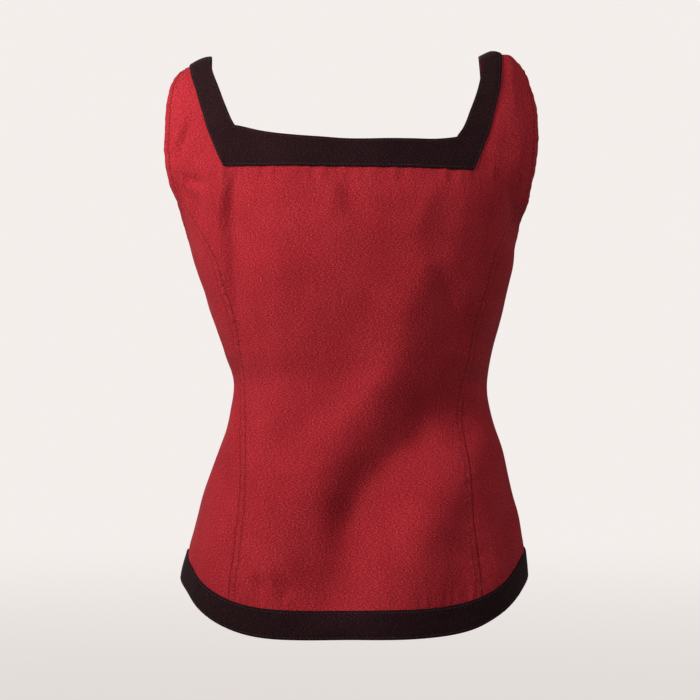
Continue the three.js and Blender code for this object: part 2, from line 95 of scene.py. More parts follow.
def read(rows, name, at):
    """A column of a table at values of its first column, on a smooth curve through the rows."""
    key = next(iter(rows.values()))
    value = rows[name]
    slope = np.gradient(value, key)
    at = np.clip(at, key[0], key[-1])
    k = np.clip(np.searchsorted(key, at) - 1, 0, len(key) - 2)
    h = key[k + 1] - key[k]
    t = (at - key[k]) / h
    start = (2 * t**3 - 3 * t**2 + 1) * value[k] + (t**3 - 2 * t**2 + t) * h * slope[k]
    stop = (3 * t**2 - 2 * t**3) * value[k + 1] + (t**3 - t**2) * h * slope[k + 1]
    return start + stop


def mix(a, b, t):
    """A value that is a share t of the way from a to b."""
    return a + (b - a) * t


SECTIONS = columns("level half back front sway square", [
    [-600, 177.0, 124, 112, 0.0, 2.35],
    [-565, 176.5, 122, 112, 0.2, 2.35],
    [-525, 175.0, 117, 110, 0.4, 2.35],
    [-463, 162.0, 104, 104, -2.4, 2.30],
    [-401, 144.2, 92, 98, -5.9, 2.25],
    [-360, 133.6, 86, 96, -6.0, 2.20],
    [-330, 131.0, 86, 99, -5.0, 2.20],
    [-298, 138.5, 91, 108, -2.3, 2.25],
    [-257, 151.5, 99, 120, -1.3, 2.30],
    [-215, 162.5, 105, 124, 0.9, 2.35],
    [-176, 172.0, 107, 119, 3.1, 2.40],
    [-140, 190.0, 105, 113, 3.6, 2.40],
    [-100, 203.0, 98, 104, 3.6, 2.40],
    [-50, 207.0, 82, 88, 3.6, 2.40],
    [0, 204.0, 59, 63, 3.6, 2.40],
    [50, 198.0, 31, 34, 3.6, 2.40],
    [RIDGE, 193.0, 0, 0, 3.6, 2.40],
])
SHOULDER = columns("x z", [
    [-200, -34], [-186, -24], [-176, -13.5], [-168, -3], [-160, 5], [-150, 5.8], [-140, 7.2],
    [-128, 2.0], [-105, 10], [-80, 22], [-40, 34], [0, 38], [40, 35], [80, 26], [115, 13], [136, 4.5],
    [147, 2.2], [157, 0.6], [168, -5], [183, -14.5], [200, -27],
])
print("widest half", SECTIONS["half"].max(), "mm, narrowest", SECTIONS["half"].min(), "mm")

# %% [markdown]
# ## The filled-out form
#
# The form is a stack of rounded ovals, flatter than ellipses, as a torso is. Below the underarm a level
# is simply a height. Above it the levels climb over an arch, so that the back and the front close
# smoothly on the shoulder line. A place on the form is an angle and a level: 0 degrees is the middle of
# the back, 90 the wearer's left side, 180 the middle of the front.

# %% The form
# how far to each side the form is sampled for its outward direction, in degrees and in levels
NUDGE = (0.2, 0.4)


def place(angle, level):
    """Places on the form, as pairs of an angle and a level."""
    return np.stack(np.broadcast_arrays(np.asarray(angle, float), np.asarray(level, float)), axis=-1)


def rounded(angle, square):
    """Sine and cosine of a rounded square instead of a circle."""
    s = np.sin(np.radians(angle))
    c = np.cos(np.radians(angle))
    size = (np.abs(s) ** square + np.abs(c) ** square) ** (-1 / square)
    return s * size, c * size


def form(spots):
    """Points of the plain form, before any fold."""
    angle = spots[..., 0]
    level = spots[..., 1]
    across, along = rounded(angle, read(SECTIONS, "square", level))
    x = read(SECTIONS, "half", level) * across + read(SECTIONS, "sway", level)
    y = np.where(along > 0, read(SECTIONS, "back", level), read(SECTIONS, "front", level)) * along
    rise = np.sin(np.clip((level - UNDERARM) / ARCH, 0, 1) * np.pi / 2)
    high = UNDERARM + (read(SHOULDER, "z", x) - UNDERARM) * rise
    return np.stack([x, y, np.where(level <= UNDERARM, level, high)], axis=-1)


def outward(spots):
    """Outward direction of the plain form."""
    turn = form(spots + [NUDGE[0], 0]) - form(spots - [NUDGE[0], 0])
    climb = form(spots + [0, NUDGE[1]]) - form(spots - [0, NUDGE[1]])
    normal = np.cross(climb, turn)
    return normal / np.linalg.norm(normal, axis=-1, keepdims=True)


def slide(spots, turn, climb):
    """Moves places by millimetres on the surface, from its stretch per degree and per level."""
    per_angle = np.linalg.norm(form(spots + [0.5, 0]) - form(spots - [0.5, 0]), axis=-1)
    per_level = np.linalg.norm(form(spots) - form(spots - [0, 1]), axis=-1)
    return spots + np.stack([turn / per_angle, climb / per_level], axis=-1)


def angle_at(face, x, level):
    """The angle at which the form passes x on a level of the back or the front."""
    across = np.clip((x - read(SECTIONS, "sway", level)) / read(SECTIONS, "half", level), -1, 1)
    square = read(SECTIONS, "square", level)
    along = (1 - np.abs(across) ** square) ** (1 / square)
    return np.degrees(np.arctan2(across, along if face == "back" else -along))


WAIST = -330
ring = form(place(np.linspace(0, 360, 721), WAIST))
print("waist girth", round(np.linalg.norm(np.diff(ring, axis=0), axis=1).sum()), "mm")

# %% [markdown]
# ## Folds and creases
#
# Worn canvas doesn't lie smooth. Long soft troughs run from the waist to the hem, where the cloth has
# spare length, and small creases sit by the seams. A cloth simulation would put its folds wherever it
# liked. These are listed instead: a path over the back or the front, a depth, and how far the
# fold reaches to each side. Low uneven ripples are added over everything, from a few waves in fixed
# directions, so that no area is perfectly flat.

# %% Folds
# face, depth, reach to the wearer's left, reach to their right, path across the face and up, top first
FOLDS = [
    ("back", -16, 28, 41, [
        (-130, -336), (-106, -345), (-81, -369), (-48, -401), (-16, -430), (0, -457), (13, -496),
        (24, -547), (22, -570),
    ]),
    ("back", -8, 40, 29, [(-50, -420), (-30, -454), (-14, -489), (1, -540), (12, -570)]),
    ("back", 10, 49, 30, [(-74, -393), (-71, -446), (-65, -489), (-47, -548)]),
    ("back", 7, 20, 29, [(-50, -240), (-38, -308), (4, -369), (44, -397)]),
    ("back", -10.5, 50, 37, [(33, -412), (12, -470), (19, -535), (20, -565)]),
    ("back", -7, 8, 28, [(122, -120), (122, -161), (122, -200), (121, -244), (112, -300)]),
    ("back", -6, 13, 20, [(91, -372), (80, -396), (77, -420)]),
    ("back", 4, 11, 11, [(117, -347), (122, -386), (124, -420)]),
    ("back", -5, 10, 17, [(-79, -212), (-90, -244), (-95, -278)]),
    ("back", -5, 7, 13, [(-152, -132), (-160, -165), (-152, -200)]),
    ("front", -10, 34, 24, [(98, -292), (52, -330), (12, -360), (-14, -398)]),
    ("front", -9, 20, 36, [(-104, -306), (-64, -350), (-36, -410), (-28, -470)]),
    ("front", 6, 22, 22, [(-84, -360), (-62, -440), (-52, -530)]),
    ("front", -8, 18, 34, [(74, -350), (58, -430), (60, -540)]),
    ("front", 5, 20, 20, [(36, -400), (24, -460), (20, -530)]),
    ("front", -5, 12, 18, [(124, -165), (104, -200), (92, -240)]),
    ("front", -5, 18, 12, [(-122, -160), (-108, -205), (-90, -236)]),
]
print(len(FOLDS), "folds")

# %% Creases
CREASES = [
    ("back", -1.3, 4, 5, [(123, -303), (118, -314), (113, -325)]),
    ("back", -5.0, 3, 5, [(165, -62), (172, -82), (177, -104)]),
    ("back", -4.2, 3, 5, [(173, -124), (163, -131), (151, -134)]),
    ("back", -3.8, 3, 5, [(171, -140), (161, -152), (154, -176)]),
    ("back", -1.8, 3, 5, [(148, -92), (153, -103), (161, -112)]),
    ("back", -3.6, 4, 8, [(118, -122), (124, -142), (129, -168), (128, -196)]),
    ("back", 1.8, 9, 9, [(36, -124), (20, -147), (32, -166)]),
    ("back", 2.0, 8, 9, [(3, -122), (-13, -143), (-36, -157)]),
    ("back", -1.8, 8, 10, [(10, -127), (5, -156), (-17, -182)]),
    ("back", -1.4, 7, 8, [(-29, -124), (-44, -133), (-64, -137)]),
    ("back", 1.6, 10, 10, [(-83, -131), (-64, -166), (-59, -190)]),
    ("back", -2.8, 8, 8, [(172, -98), (168, -122), (174, -150)]),
    ("back", -2.4, 8, 8, [(152, -108), (156, -140), (150, -172)]),
    ("back", 1.4, 8, 8, [(-168, -70), (-166, -96), (-160, -126)]),
    ("back", -1.6, 7, 9, [(118, -498), (112, -511), (104, -520)]),
    ("back", 1.4, 8, 8, [(92, -506), (84, -514), (74, -520)]),
    ("back", -4.6, 32, 18, [(62, -398), (54, -480), (58, -562)]),
    ("back", -2.8, 5, 7, [(101, -516), (95, -528), (90, -538)]),
    ("back", 2.2, 6, 6, [(88, -518), (82, -530), (78, -540)]),
    ("back", -2.6, 6, 8, [(76, -520), (69, -533), (66, -542)]),
    ("front", -1.6, 6, 8, [(118, -190), (104, -204), (86, -210)]),
    ("front", -1.6, 7, 6, [(-120, -196), (-104, -208), (-84, -216)]),
    ("front", -1.6, 8, 9, [(60, -178), (52, -198), (55, -222)]),
    ("front", 1.5, 9, 9, [(-52, -178), (-60, -202), (-56, -228)]),
    ("front", -1.8, 6, 8, [(98, -318), (84, -326), (64, -330)]),
    ("front", -1.8, 7, 6, [(-98, -320), (-82, -330), (-58, -332)]),
    ("front", 1.4, 9, 9, [(-10, -400), (-16, -430), (-12, -468)]),
    ("front", -1.6, 6, 8, [(152, -96), (155, -122), (150, -146)]),
    ("front", -1.6, 8, 6, [(-146, -92), (-150, -120), (-146, -142)]),
    ("left", -1.2, 10, 12, [(56, -316), (38, -326), (16, -330)]),
    ("left", -1.2, 10, 12, [(-10, -344), (-40, -352), (-62, -350)]),
    ("left", -1.8, 7, 8, [(24, -192), (12, -218), (16, -256)]),
    ("left", 2.4, 17, 17, [(10, -400), (-5, -450), (-12, -510)]),
    ("right", -1.2, 12, 10, [(56, -322), (36, -332), (14, -330)]),
    ("right", -1.2, 12, 9, [(-60, -346), (-38, -354), (-12, -350)]),
    ("right", -1.8, 8, 7, [(-18, -194), (-6, -226), (-12, -264)]),
    ("right", 2.4, 17, 15, [(0, -395), (10, -450), (22, -512)]),
]
print(len(CREASES), "creases")

# %% [markdown]
# ## How a fold presses the cloth
#
# A brush in Sculpt Mode would push the cloth along its normal, strongest on the stroke and less beside
# it. The same rule is written out here, so that a fold stays a line in a table and can be moved: a smooth
# line through the path, a soft bell to each side of it, and ends that fade.

# %% Pressing the cloth
# the way a path runs over a face, the way the face looks, and on which side of the middle it is
FACES = {"back": (0, 1, 1), "front": (0, 1, -1), "left": (1, 0, 1), "right": (1, 0, -1)}
PATH_STEPS = 5
# a fold is dropped beyond so many reaches, keeps this share of its depth at its ends, and fades out
# where the face turns away over so many millimetres
FOLD_ROOM = 2.6
FOLD_END = 0.25
FADE = 30


def soft_path(path):
    """A path of a few points as a smooth line of many."""
    knots = columns("k x z", [(k, *point) for k, point in enumerate(path)])
    at = np.linspace(0, len(path) - 1, PATH_STEPS * (len(path) - 1) + 1)
    return np.stack([read(knots, "x", at), read(knots, "z", at)], axis=1)


def nearest(line, x, z):
    """Distance from points to a line, how far along it that is, and how far to the wearer's left."""
    best = np.full(x.shape, np.inf)
    along = np.zeros(x.shape)
    aside = np.zeros(x.shape)
    for k, ((ax, az), (bx, bz)) in enumerate(zip(line, line[1:])):
        length = np.hypot(bx - ax, bz - az)
        t = np.clip(((x - ax) * (bx - ax) + (z - az) * (bz - az)) / length**2, 0, 1)
        distance = np.hypot(x - mix(ax, bx, t), z - mix(az, bz, t))
        left = ((bx - ax) * (z - az) - (bz - az) * (x - ax)) / length
        closer = distance < best
        best = np.where(closer, distance, best)
        along = np.where(closer, (k + t) / (len(line) - 1), along)
        aside = np.where(closer, left, aside)
    return best, along, aside


def press(points, folds):
    """How far folds move points of the form outwards."""
    depth = np.zeros(points.shape[:-1])
    for face, deep, left, right, path in folds:
        over, looks, side = FACES[face]
        across = points[..., over]
        up = points[..., 2]
        out = points[..., looks] * side
        line = soft_path(path)
        room = FOLD_ROOM * max(left, right)
        low = line.min(axis=0) - room
        high = line.max(axis=0) + room
        inside = (across > low[0]) & (across < high[0]) & (up > low[1]) & (up < high[1]) & (out > 0)
        distance, along, aside = nearest(line, across[inside], up[inside])
        reach = np.where(aside > 0, left, right)
        off = (aside / reach) ** 2 + (distance**2 - aside**2) / (left * right)
        taper = FOLD_END + (1 - FOLD_END) * np.sin(np.pi * along)
        depth[inside] += deep * taper * np.exp(-off) * np.clip(out[inside] / FADE, 0, 1)
    return depth


waist_press = press(ring, FOLDS)
print("folds move the waist by", np.round([waist_press.min(), waist_press.max()], 1), "mm")

# %% Ripples, and the draped cloth
WAVES = np.random.default_rng(11)
WAVE_COUNT = 26
WAVE_WAYS = WAVES.normal(size=(WAVE_COUNT, 3))
WAVE_WAYS /= np.linalg.norm(WAVE_WAYS, axis=1, keepdims=True)
WAVE_LENGTHS = WAVES.uniform(26, 85, WAVE_COUNT)
WAVE_STARTS = WAVES.uniform(0, 2 * np.pi, WAVE_COUNT)
# a wave of this length has this height, and longer ones are higher
MIDDLING_WAVE = 60
WAVE_HEIGHT = 0.2


def ripples(points):
    """Low uneven waves over the whole cloth, about a millimetre high together."""
    total = np.zeros(points.shape[:-1])
    for way, length, start in zip(WAVE_WAYS, WAVE_LENGTHS, WAVE_STARTS):
        total += np.sin(points @ way * (2 * np.pi / length) + start) * length / MIDDLING_WAVE
    return total * WAVE_HEIGHT


def drape(spots, lift=0.0):
    """Points of the draped cloth's outer face, lifted by millimetres."""
    points = form(spots)
    height = press(points, FOLDS) + press(points, CREASES) + ripples(points) + lift
    return points + outward(spots) * height[..., None]


waist = np.round(np.linalg.norm(np.diff(drape(place(np.linspace(0, 360, 721), WAIST)), axis=0), axis=1).sum())
print("waist girth with its folds", waist, "mm")

# %% [markdown]
# ## Pattern lines
#
# The seams, the strap edges, the neck and the hem are the lines a maker draws first. Seams and straps are
# given by their distance from the middle at each level, the neck by its height at each x. The hem dips to
# a soft point at the middle of the back and of the front.

# %% Pattern lines
SEAM = {
    "back": columns("level x centre", [
        [-600, 124.0, 0], [-525, 123.5, 0], [-463, 117.0, 0], [-401, 114.0, 0], [-360, 113.5, 0],
        [-330, 116.0, 0], [-298, 120.5, 0], [-272, 125.5, 0], [-236, 136.0, 0], [-197, 147.0, 0.6],
        [-170, 162.0, 2], [-143, 179.0, ARM_CENTRE],
    ]),
    "front": columns("level x centre", [
        [-600, 118, 0], [-525, 116, 0], [-463, 112, -1], [-401, 107, -3], [-360, 104, -3],
        [-330, 105, -3], [-298, 111, -2], [-257, 126, 0], [-215, 145, 1], [-180, 158, 2.5],
        [-152, 166, ARM_CENTRE],
    ]),
}
STRAP = {
    "back": columns("level neck band arm centre", [
        [-143, 101, 115, 179, 6], [-120, 103, 123, 183.5, 6], [-95, 105.5, 133, 186.5, 6],
        [-77, 114, 139.5, 187.6, 6], [-52, 122, 146, 188, 6.5], [-15, 131, 153, 187.6, 7],
        [11, 135.5, 156, 186, 8], [43, 138, 158, 182, 9], [RIDGE, 138, 160, 176, 10],
    ]),
    "front": columns("level neck band arm centre", [
        [-176, 104, 122, 171, 6], [-168, 105, 124, 168.5, 6], [-152, 107, 130, 166, 6],
        [-141, 108.5, 134, 165.5, 6], [-125, 113, 139, 166, 6], [-100, 122, 147, 167.5, 6.5],
        [-72, 131, 154, 169.5, 7], [-50, 137, 159, 171.5, 7.5], [-15, 142, 162.5, 174.5, 8],
        [20, 142, 162.5, 176, 9], [60, 140, 161, 176.5, 9.5], [RIDGE, 138, 160, 176, 10],
    ]),
}
NECK = {
    "back": columns("x edge band", [
        [-115, -87, -120.6], [-98, -89.5, -120.2], [-83, -91, -119.6], [-54, -91.5, -119],
        [-10, -92, -118.6], [34, -90, -118.2], [64, -87, -117.8], [93, -83, -117.2],
        [117, -77.6, -116.8], [131, -77, -116.7],
    ]),
    "front": columns("x edge band", [
        [-130, -137, -166], [-100, -138, -166.6], [0, -141, -169.5], [100, -138, -166.6],
        [140, -137, -166],
    ]),
}


# how often a search halves its range, and the levels between which the neck's corners are searched
HALVINGS = 40
CORNER_RANGE = (UNDERARM - 20.0, -40.0)


def hem(angle):
    """Height of the garment's lower edge."""
    across, along = rounded(angle, HEM_SQUARE)
    drop = np.where(along > 0, HEM_DROP["back"], HEM_DROP["front"])
    tilt = HEM_TILT * across * SECTIONS["half"][0]
    return HEM_SIDE + tilt - drop * np.sin(np.abs(along) ** HEM_POINT * np.pi / 2)


def seam_angle(face, side, level):
    """Angle of a long seam."""
    x = side * read(SEAM[face], "x", level) + read(SEAM[face], "centre", level)
    return angle_at(face, x, level)


def strap_place(face, side, name, level):
    """A strap line (neck, band or arm) at a level."""
    centre = ARM_CENTRE if name == "arm" else read(STRAP[face], "centre", level)
    x = side * read(STRAP[face], name, level) + centre
    return place(angle_at(face, x, level), level)


def level_where(above, low, high):
    """The level at which a condition starts to hold, by halving."""
    for _ in range(HALVINGS):
        middle = (low + high) / 2
        up = above(middle)
        low = np.where(up, low, middle)
        high = np.where(up, middle, high)
    return (low + high) / 2


def over_neck(face, height, spots):
    """Whether places lie above a line of heights across the neck."""
    points = form(spots)
    return points[..., 2] > read(NECK[face], height, points[..., 0])


def neck_corner(face, side, strap_line, height):
    """Corner where a strap line meets a line of heights across the neck."""
    line = lambda level: strap_place(face, side, strap_line, level)
    level = level_where(lambda at: over_neck(face, height, line(at)), *CORNER_RANGE)
    return line(level)


print("neck corners", [np.round(neck_corner("back", side, "neck", "edge"), 1) for side in SIDES.values()])

# %% [markdown]
# ## Panels as grids of places
#
# A panel is a grid: its upright lines are numbered stations, and its rows climb from the hem to the neck
# and over the strap. Both may be fractions, so one rule serves a coarse pattern and a fine mesh alike,
# and the bands and the stitches can ask for any place in between.

# %% Rows and upright lines
# rows of the grid: where the join row is, a line leaves the body for the strap or the neck
ROW = {"hem": 0, "hem_band": 2, "join": 26, "band": 28, "neck": 31, "ridge": 47}
# cells between two neighbouring upright lines, and how far out from the middle to the seam a line stands
CELLS = {"band edge": 3, "band corner": 3, "centre corner": 11, "corner corner": 22}
SHARE = {"edge": 1, "band": 0.7, "corner": 0.5, "centre": 0}
# levels of the join row at each line, and of the armhole's edge beside the band and beside the neck
JOIN = {
    "back": {"edge": -143, "band": -143, "corner": -143, "centre": -143},
    "front": {"edge": -152, "band": -180, "corner": -189, "centre": -189},
}
ARM_EDGE = {"back": {"band": -120, "neck": -95}, "front": {"band": -140, "neck": -124}}
SIDE_CELLS = 9
# half the slit between the two halves of a strap, and how the search for a seam's foot starts and ends
RIDGE_GAP = 0.15
FOOT_GUESS = HEM_SIDE - 30
FOOT_ROUNDS = 8


def seam_hem(face, side):
    """Height at which a long seam meets the lower edge."""
    level = FOOT_GUESS
    for _ in range(FOOT_ROUNDS):
        level = hem(seam_angle(face, side, level))
    return float(level)


def body_level(foot, top, row):
    """Level of a row of an upright line that stands on 'foot' and reaches 'top' at the join row."""
    low = foot + mix(LIP, HEM_BAND, row / ROW["hem_band"])
    high = mix(foot + HEM_BAND, top, (row - ROW["hem_band"]) / (ROW["join"] - ROW["hem_band"]))
    return np.where(row <= ROW["hem_band"], low, high)


def upright_line(face, side, name):
    """An upright line of a strapped panel: where it crosses the rows of the grid."""
    foot = seam_hem(face, side)
    centre = 0 if face == "back" else 180 * side
    seam = lambda row: seam_angle(face, side, body_level(foot, JOIN[face]["edge"], row))
    line = {"side": side, "name": name, "join": JOIN[face][name], "strap": None}
    line["angle"] = lambda row: mix(centre, seam(row), SHARE[name])
    if name == "centre":
        line["band"] = place(centre, 0)
        line["neck"] = place(centre, 0)
        return line
    kind = {"edge": "arm", "band": "band", "corner": "neck"}[name]
    corner = neck_corner(face, side, "neck", "edge")
    if name == "edge":
        line["band"] = strap_place(face, side, "arm", ARM_EDGE[face]["band"])
        line["neck"] = strap_place(face, side, "arm", ARM_EDGE[face]["neck"])
    elif name == "band":
        line["band"] = neck_corner(face, side, kind, "band")
        line["neck"] = strap_place(face, side, "band", mix(corner[1], ARM_EDGE[face]["neck"], 0.5))
    else:
        line["band"] = neck_corner(face, side, kind, "band")
        line["neck"] = corner
    low = line["neck"][1]

    def strap(row):
        """Where the line crosses a row of the strap."""
        level = mix(low, RIDGE - RIDGE_GAP, (row - ROW["neck"]) / (ROW["ridge"] - ROW["neck"]))
        return strap_place(face, side, kind, level)

    line["strap"] = strap
    return line


print("feet of the back seams", [round(seam_hem("back", side), 1) for side in SIDES.values()])

# %% Places between two upright lines
# the lowest level at which the neck's edge is searched
NECK_FLOOR = UNDERARM - 60.0


def between_lines(face, start, stop, share, row):
    """Places some way from one upright line to the next, at any rows."""
    hem_row, join_row = np.float64(ROW["hem"]), np.float64(ROW["join"])
    strap = start["strap"] is not None and stop["strap"] is not None and start["side"] == stop["side"]
    angle = mix(start["angle"](row), stop["angle"](row), share)
    top = mix(start["join"], stop["join"], share)
    at_hem = mix(start["angle"](hem_row), stop["angle"](hem_row), share)
    at_join = mix(start["angle"](join_row), stop["angle"](join_row), share)
    spots = place(angle, body_level(hem(at_hem), top, row))

    def across(key, height):
        """Places between the two lines on the neck's edge or on the band's lower edge."""
        spot = mix(start[key], stop[key], share[:, None])
        if not strap:
            turns, back = np.unique(spot[:, 0], return_inverse=True)
            low = np.full(turns.shape, NECK_FLOOR)
            high = np.full(turns.shape, RIDGE)
            levels = level_where(lambda at: over_neck(face, height, place(turns, at)), low, high)
            spot = place(spot[:, 0], levels[back])
        return spot

    join = place(at_join, top)
    band = across("band", "band")
    neck = across("neck", "edge")
    part = lambda low, high: ((row - ROW[low]) / (ROW[high] - ROW[low]))[:, None]
    lower = mix(join, band, part("join", "band"))
    upper = mix(band, neck, part("band", "neck"))
    spots = np.where((row > ROW["join"])[:, None], lower, spots)
    spots = np.where((row > ROW["band"])[:, None], upper, spots)
    if start["strap"] is not None:
        top = start["strap"](row)
        if strap:
            top = mix(top, stop["strap"](row), share[:, None])
        spots = np.where((row > ROW["neck"])[:, None], top, spots)
    return spots


edge_line, band_line = (upright_line("back", 1, name) for name in ("edge", "band"))
half_way = between_lines("back", edge_line, band_line, np.array([0.5]), np.array([float(ROW["band"])]))
print("between edge and band, at the band row:", np.round(half_way[0], 1))

# %% The five panels
# how squarely the armhole's lower edge turns up towards the seams
ARM_CURVE = 2.4


def strapped_panel(face, side=0):
    """The whole back, or one half of the front. Stations run with the angle."""
    names = ["edge", "band", "corner"]
    lines = {at: [upright_line(face, at, name) for name in names] for at in (1, -1)}
    if face == "back":
        order = lines[-1] + lines[1][::-1]
    elif side > 0:
        order = lines[1] + [upright_line(face, 1, "centre")]
    else:
        order = [upright_line(face, -1, "centre")] + lines[-1][::-1]
    cells = [CELLS[" ".join(sorted([a["name"], b["name"]]))] for a, b in zip(order, order[1:])]
    starts = np.cumsum([0, *cells])

    def locate(station, row):
        """Places at stations and rows."""
        shape = np.broadcast(station, row).shape
        station, row = (np.broadcast_to(np.asarray(at, float), shape).ravel() for at in (station, row))
        spots = np.zeros(station.shape + (2,))
        for k, (start, stop) in enumerate(zip(order, order[1:])):
            inside = (station >= starts[k]) & (station <= starts[k + 1])
            if inside.any():
                share = (station[inside] - starts[k]) / cells[k]
                spots[inside] = between_lines(face, start, stop, share, row[inside])
        turn = np.where(station == 0, SEAM_GAP / 2, np.where(station == starts[-1], -SEAM_GAP / 2, 0))
        return slide(spots, turn, 0).reshape(shape + (2,))

    straps = [a["name"] != "centre" and b["name"] != "centre" and a["side"] == b["side"]
              for a, b in zip(order, order[1:])]
    return {"locate": locate, "starts": starts, "straps": straps, "cells": cells, "top": ROW["ridge"]}


def side_panel(side):
    """A side panel, from the back seam round under the arm to the front seam."""
    feet = {face: seam_hem(face, side) for face in SEAM}

    def edge(face, row):
        """Angle of the panel's back or front edge at a row."""
        return seam_angle(face, side, body_level(feet[face], JOIN[face]["edge"], row))

    hem_row, join_row = np.float64(ROW["hem"]), np.float64(ROW["join"])
    low = (90 * side - edge("back", join_row)) / (edge("front", join_row) - edge("back", join_row))

    def locate(station, row):
        """Places at stations and rows."""
        station, row = np.broadcast_arrays(np.asarray(station, float), np.asarray(row, float))
        share = station / SIDE_CELLS if side > 0 else 1 - station / SIDE_CELLS
        angle = mix(edge("back", row), edge("front", row), share)
        foot = hem(mix(edge("back", hem_row), edge("front", hem_row), share))
        away = np.where(share < low, (low - share) / low, (share - low) / (1 - low))
        corner = np.where(share < low, JOIN["back"]["edge"], JOIN["front"]["edge"])
        top = UNDERARM + (corner - UNDERARM) * np.abs(away) ** ARM_CURVE
        turn = np.where(station == 0, SEAM_GAP / 2, np.where(station == SIDE_CELLS, -SEAM_GAP / 2, 0))
        return slide(place(angle, body_level(foot, top, row)), turn, 0)

    return {"locate": locate, "starts": np.array([0, SIDE_CELLS]), "straps": [False], "cells": [SIDE_CELLS],
            "top": ROW["join"]}


PANELS = {
    "back_panel": strapped_panel("back"),
    "side_panel_left": side_panel(1),
    "side_panel_right": side_panel(-1),
    "front_panel_left": strapped_panel("front", 1),
    "front_panel_right": strapped_panel("front", -1),
}
print("stations of the back", PANELS["back_panel"]["starts"])

# %% [markdown]
# ## The origin
#
# The bodice hangs from the wearer's shoulders, so its origin is midway between the undersides of the two
# straps on the shoulder line.

# %% Origin


def strap_underside(side):
    """The point under the middle of a strap on the shoulder line."""
    ends = [strap_place("back", side, name, RIDGE)[0] for name in ("neck", "arm")]
    angle = sum(ends) / 2
    return form(place(angle, RIDGE)) - outward(place(angle, RIDGE - 0.5)) * CLOTH


ORIGIN = (strap_underside(1) + strap_underside(-1)) / 2
print("origin in the pattern", np.round(ORIGIN, 3))

# %% [markdown]
# ## From places to a closed wall of cloth
#
# Real cloth has two faces and an edge. A Solidify modifier could give a single sheet its thickness, but
# the edges would stay square. Here the wall is made directly: the outer face, the inner face a cloth's
# thickness below it, and a rim between them. Near an edge the lines of the grid lie closer together and
# the faces drop a little, so edges are soft and seams sit in a shallow groove.
#
# Two UV maps are kept in metres. `cut` runs with the threads, as on the flat piece before it was sewn.
# `sewn` gives how far along the nearest row of stitches a point lies, and how far off it.

# %% Closed walls


def wall(name, outer, inner, has, uvs):
    """A closed mesh from two grids of points in millimetres. 'has' says which cells are cloth."""
    shape = outer.shape[:2]
    number = np.arange(shape[0] * shape[1]).reshape(shape)
    a, b, c, d = number[:-1, :-1], number[:-1, 1:], number[1:, 1:], number[1:, :-1]
    quads = np.stack([a[has], b[has], c[has], d[has]], axis=1)
    sides = np.concatenate([quads[:, [k, (k + 1) % 4]] for k in range(4)])
    there = {(p, q) for p, q in sides.tolist()}
    rim = np.array([(p, q) for p, q in there if (q, p) not in there])
    used = np.unique(quads)
    renumber = np.full(number.size, -1)
    renumber[used] = np.arange(len(used))
    count = len(used)
    quads, rim = renumber[quads], renumber[rim]
    points = np.concatenate([outer.reshape(-1, 3)[used], inner.reshape(-1, 3)[used]])
    back = quads[:, ::-1] + count
    edge = np.stack([rim[:, 1], rim[:, 0], rim[:, 0] + count, rim[:, 1] + count], axis=1)
    faces = np.concatenate([quads, back, edge])
    mesh = bpy.data.meshes.new(f"{name}_cloth")
    mesh.from_pydata(((points - ORIGIN) * MM).tolist(), [], faces.tolist())
    for uv_name, values in uvs.items():
        flat = values.reshape(-1, 2)[used] * MM
        layer = mesh.uv_layers.new(name=uv_name)
        layer.uv.foreach_set("vector", flat[faces.ravel() % count].astype(np.float32).ravel())
    mesh.polygons.foreach_set("use_smooth", np.ones(len(faces), bool))
    mesh.update()
    piece = bpy.data.objects.new(f"{name}_cloth", mesh)
    bpy.context.scene.collection.objects.link(piece)
    return piece


print("walls of red cloth will be", CLOTH, "mm thick")

# %% [markdown]
# ## How fine the grids are
#
# The Subdivision Surface modifier would make every cell equally fine. These grids are finer only where
# the cloth needs it: by the edges, which are rounded, and over the armholes, which are gathered.

# %% Fine grids
# lines just inside an edge, as shares of a stretch, and how much closer they lie on a wide stretch
EDGE_STEPS = np.array([0, 0.02, 0.045, 0.07])
WIDE_EDGE = 0.4
# fine cells for a stretch of so many coarse ones, and for the stretch that ends at an armhole
FINE_STEPS = {3: 20, 11: 36, 22: 64, 9: 60}
ARM_STEPS = 26
ARM_CELLS = CELLS["band edge"]
# no other line lies closer to the edge's own lines than this share
CLEAR = 0.01
# fine cells between the rows
FINE_ROWS = [
    ("hem", "hem_band", 4), ("hem_band", "join", 136), ("join", "band", 8), ("band", "neck", 8),
    ("neck", "ridge", 70),
]


def fine_stations(panel):
    """Stations of a fine grid: closest together by the armholes and by the side edges."""
    last = len(panel["cells"]) - 1
    stations = []
    for k, cells in enumerate(panel["cells"]):
        arm = cells == ARM_CELLS and k in (0, last)
        edge = EDGE_STEPS * (1 if arm else WIDE_EDGE)
        share = np.linspace(0, 1, (ARM_STEPS if arm else FINE_STEPS[cells]) + 1)
        if k == 0:
            share = np.concatenate([edge, share[share > edge[-1] + CLEAR]])
        if k == last:
            share = np.concatenate([share[share < 1 - CLEAR - edge[-1]], 1 - edge[::-1]])
        stations.append(panel["starts"][k] + share[:-1] * cells)
    return np.concatenate([*stations, [panel["starts"][-1]]])


def fine_rows(top):
    """Rows of a fine grid, up to a row of the coarse one."""
    parts = [[ROW["hem"]]]
    for low, high, cells in FINE_ROWS:
        if ROW[high] <= top:
            parts.append(np.linspace(ROW[low], ROW[high], cells + 1)[1:])
    return np.concatenate(parts)


def spans(points, axis):
    """Distances between neighbours along an axis of a grid."""
    return np.linalg.norm(np.diff(points, axis=axis), axis=-1)


def running(steps, axis):
    """Running total with a leading zero along an axis."""
    pad = [(0, 0), (0, 0)]
    pad[axis] = (1, 0)
    return np.pad(np.cumsum(steps, axis=axis), pad)


print("fine rows of the back", len(fine_rows(ROW["ridge"])))

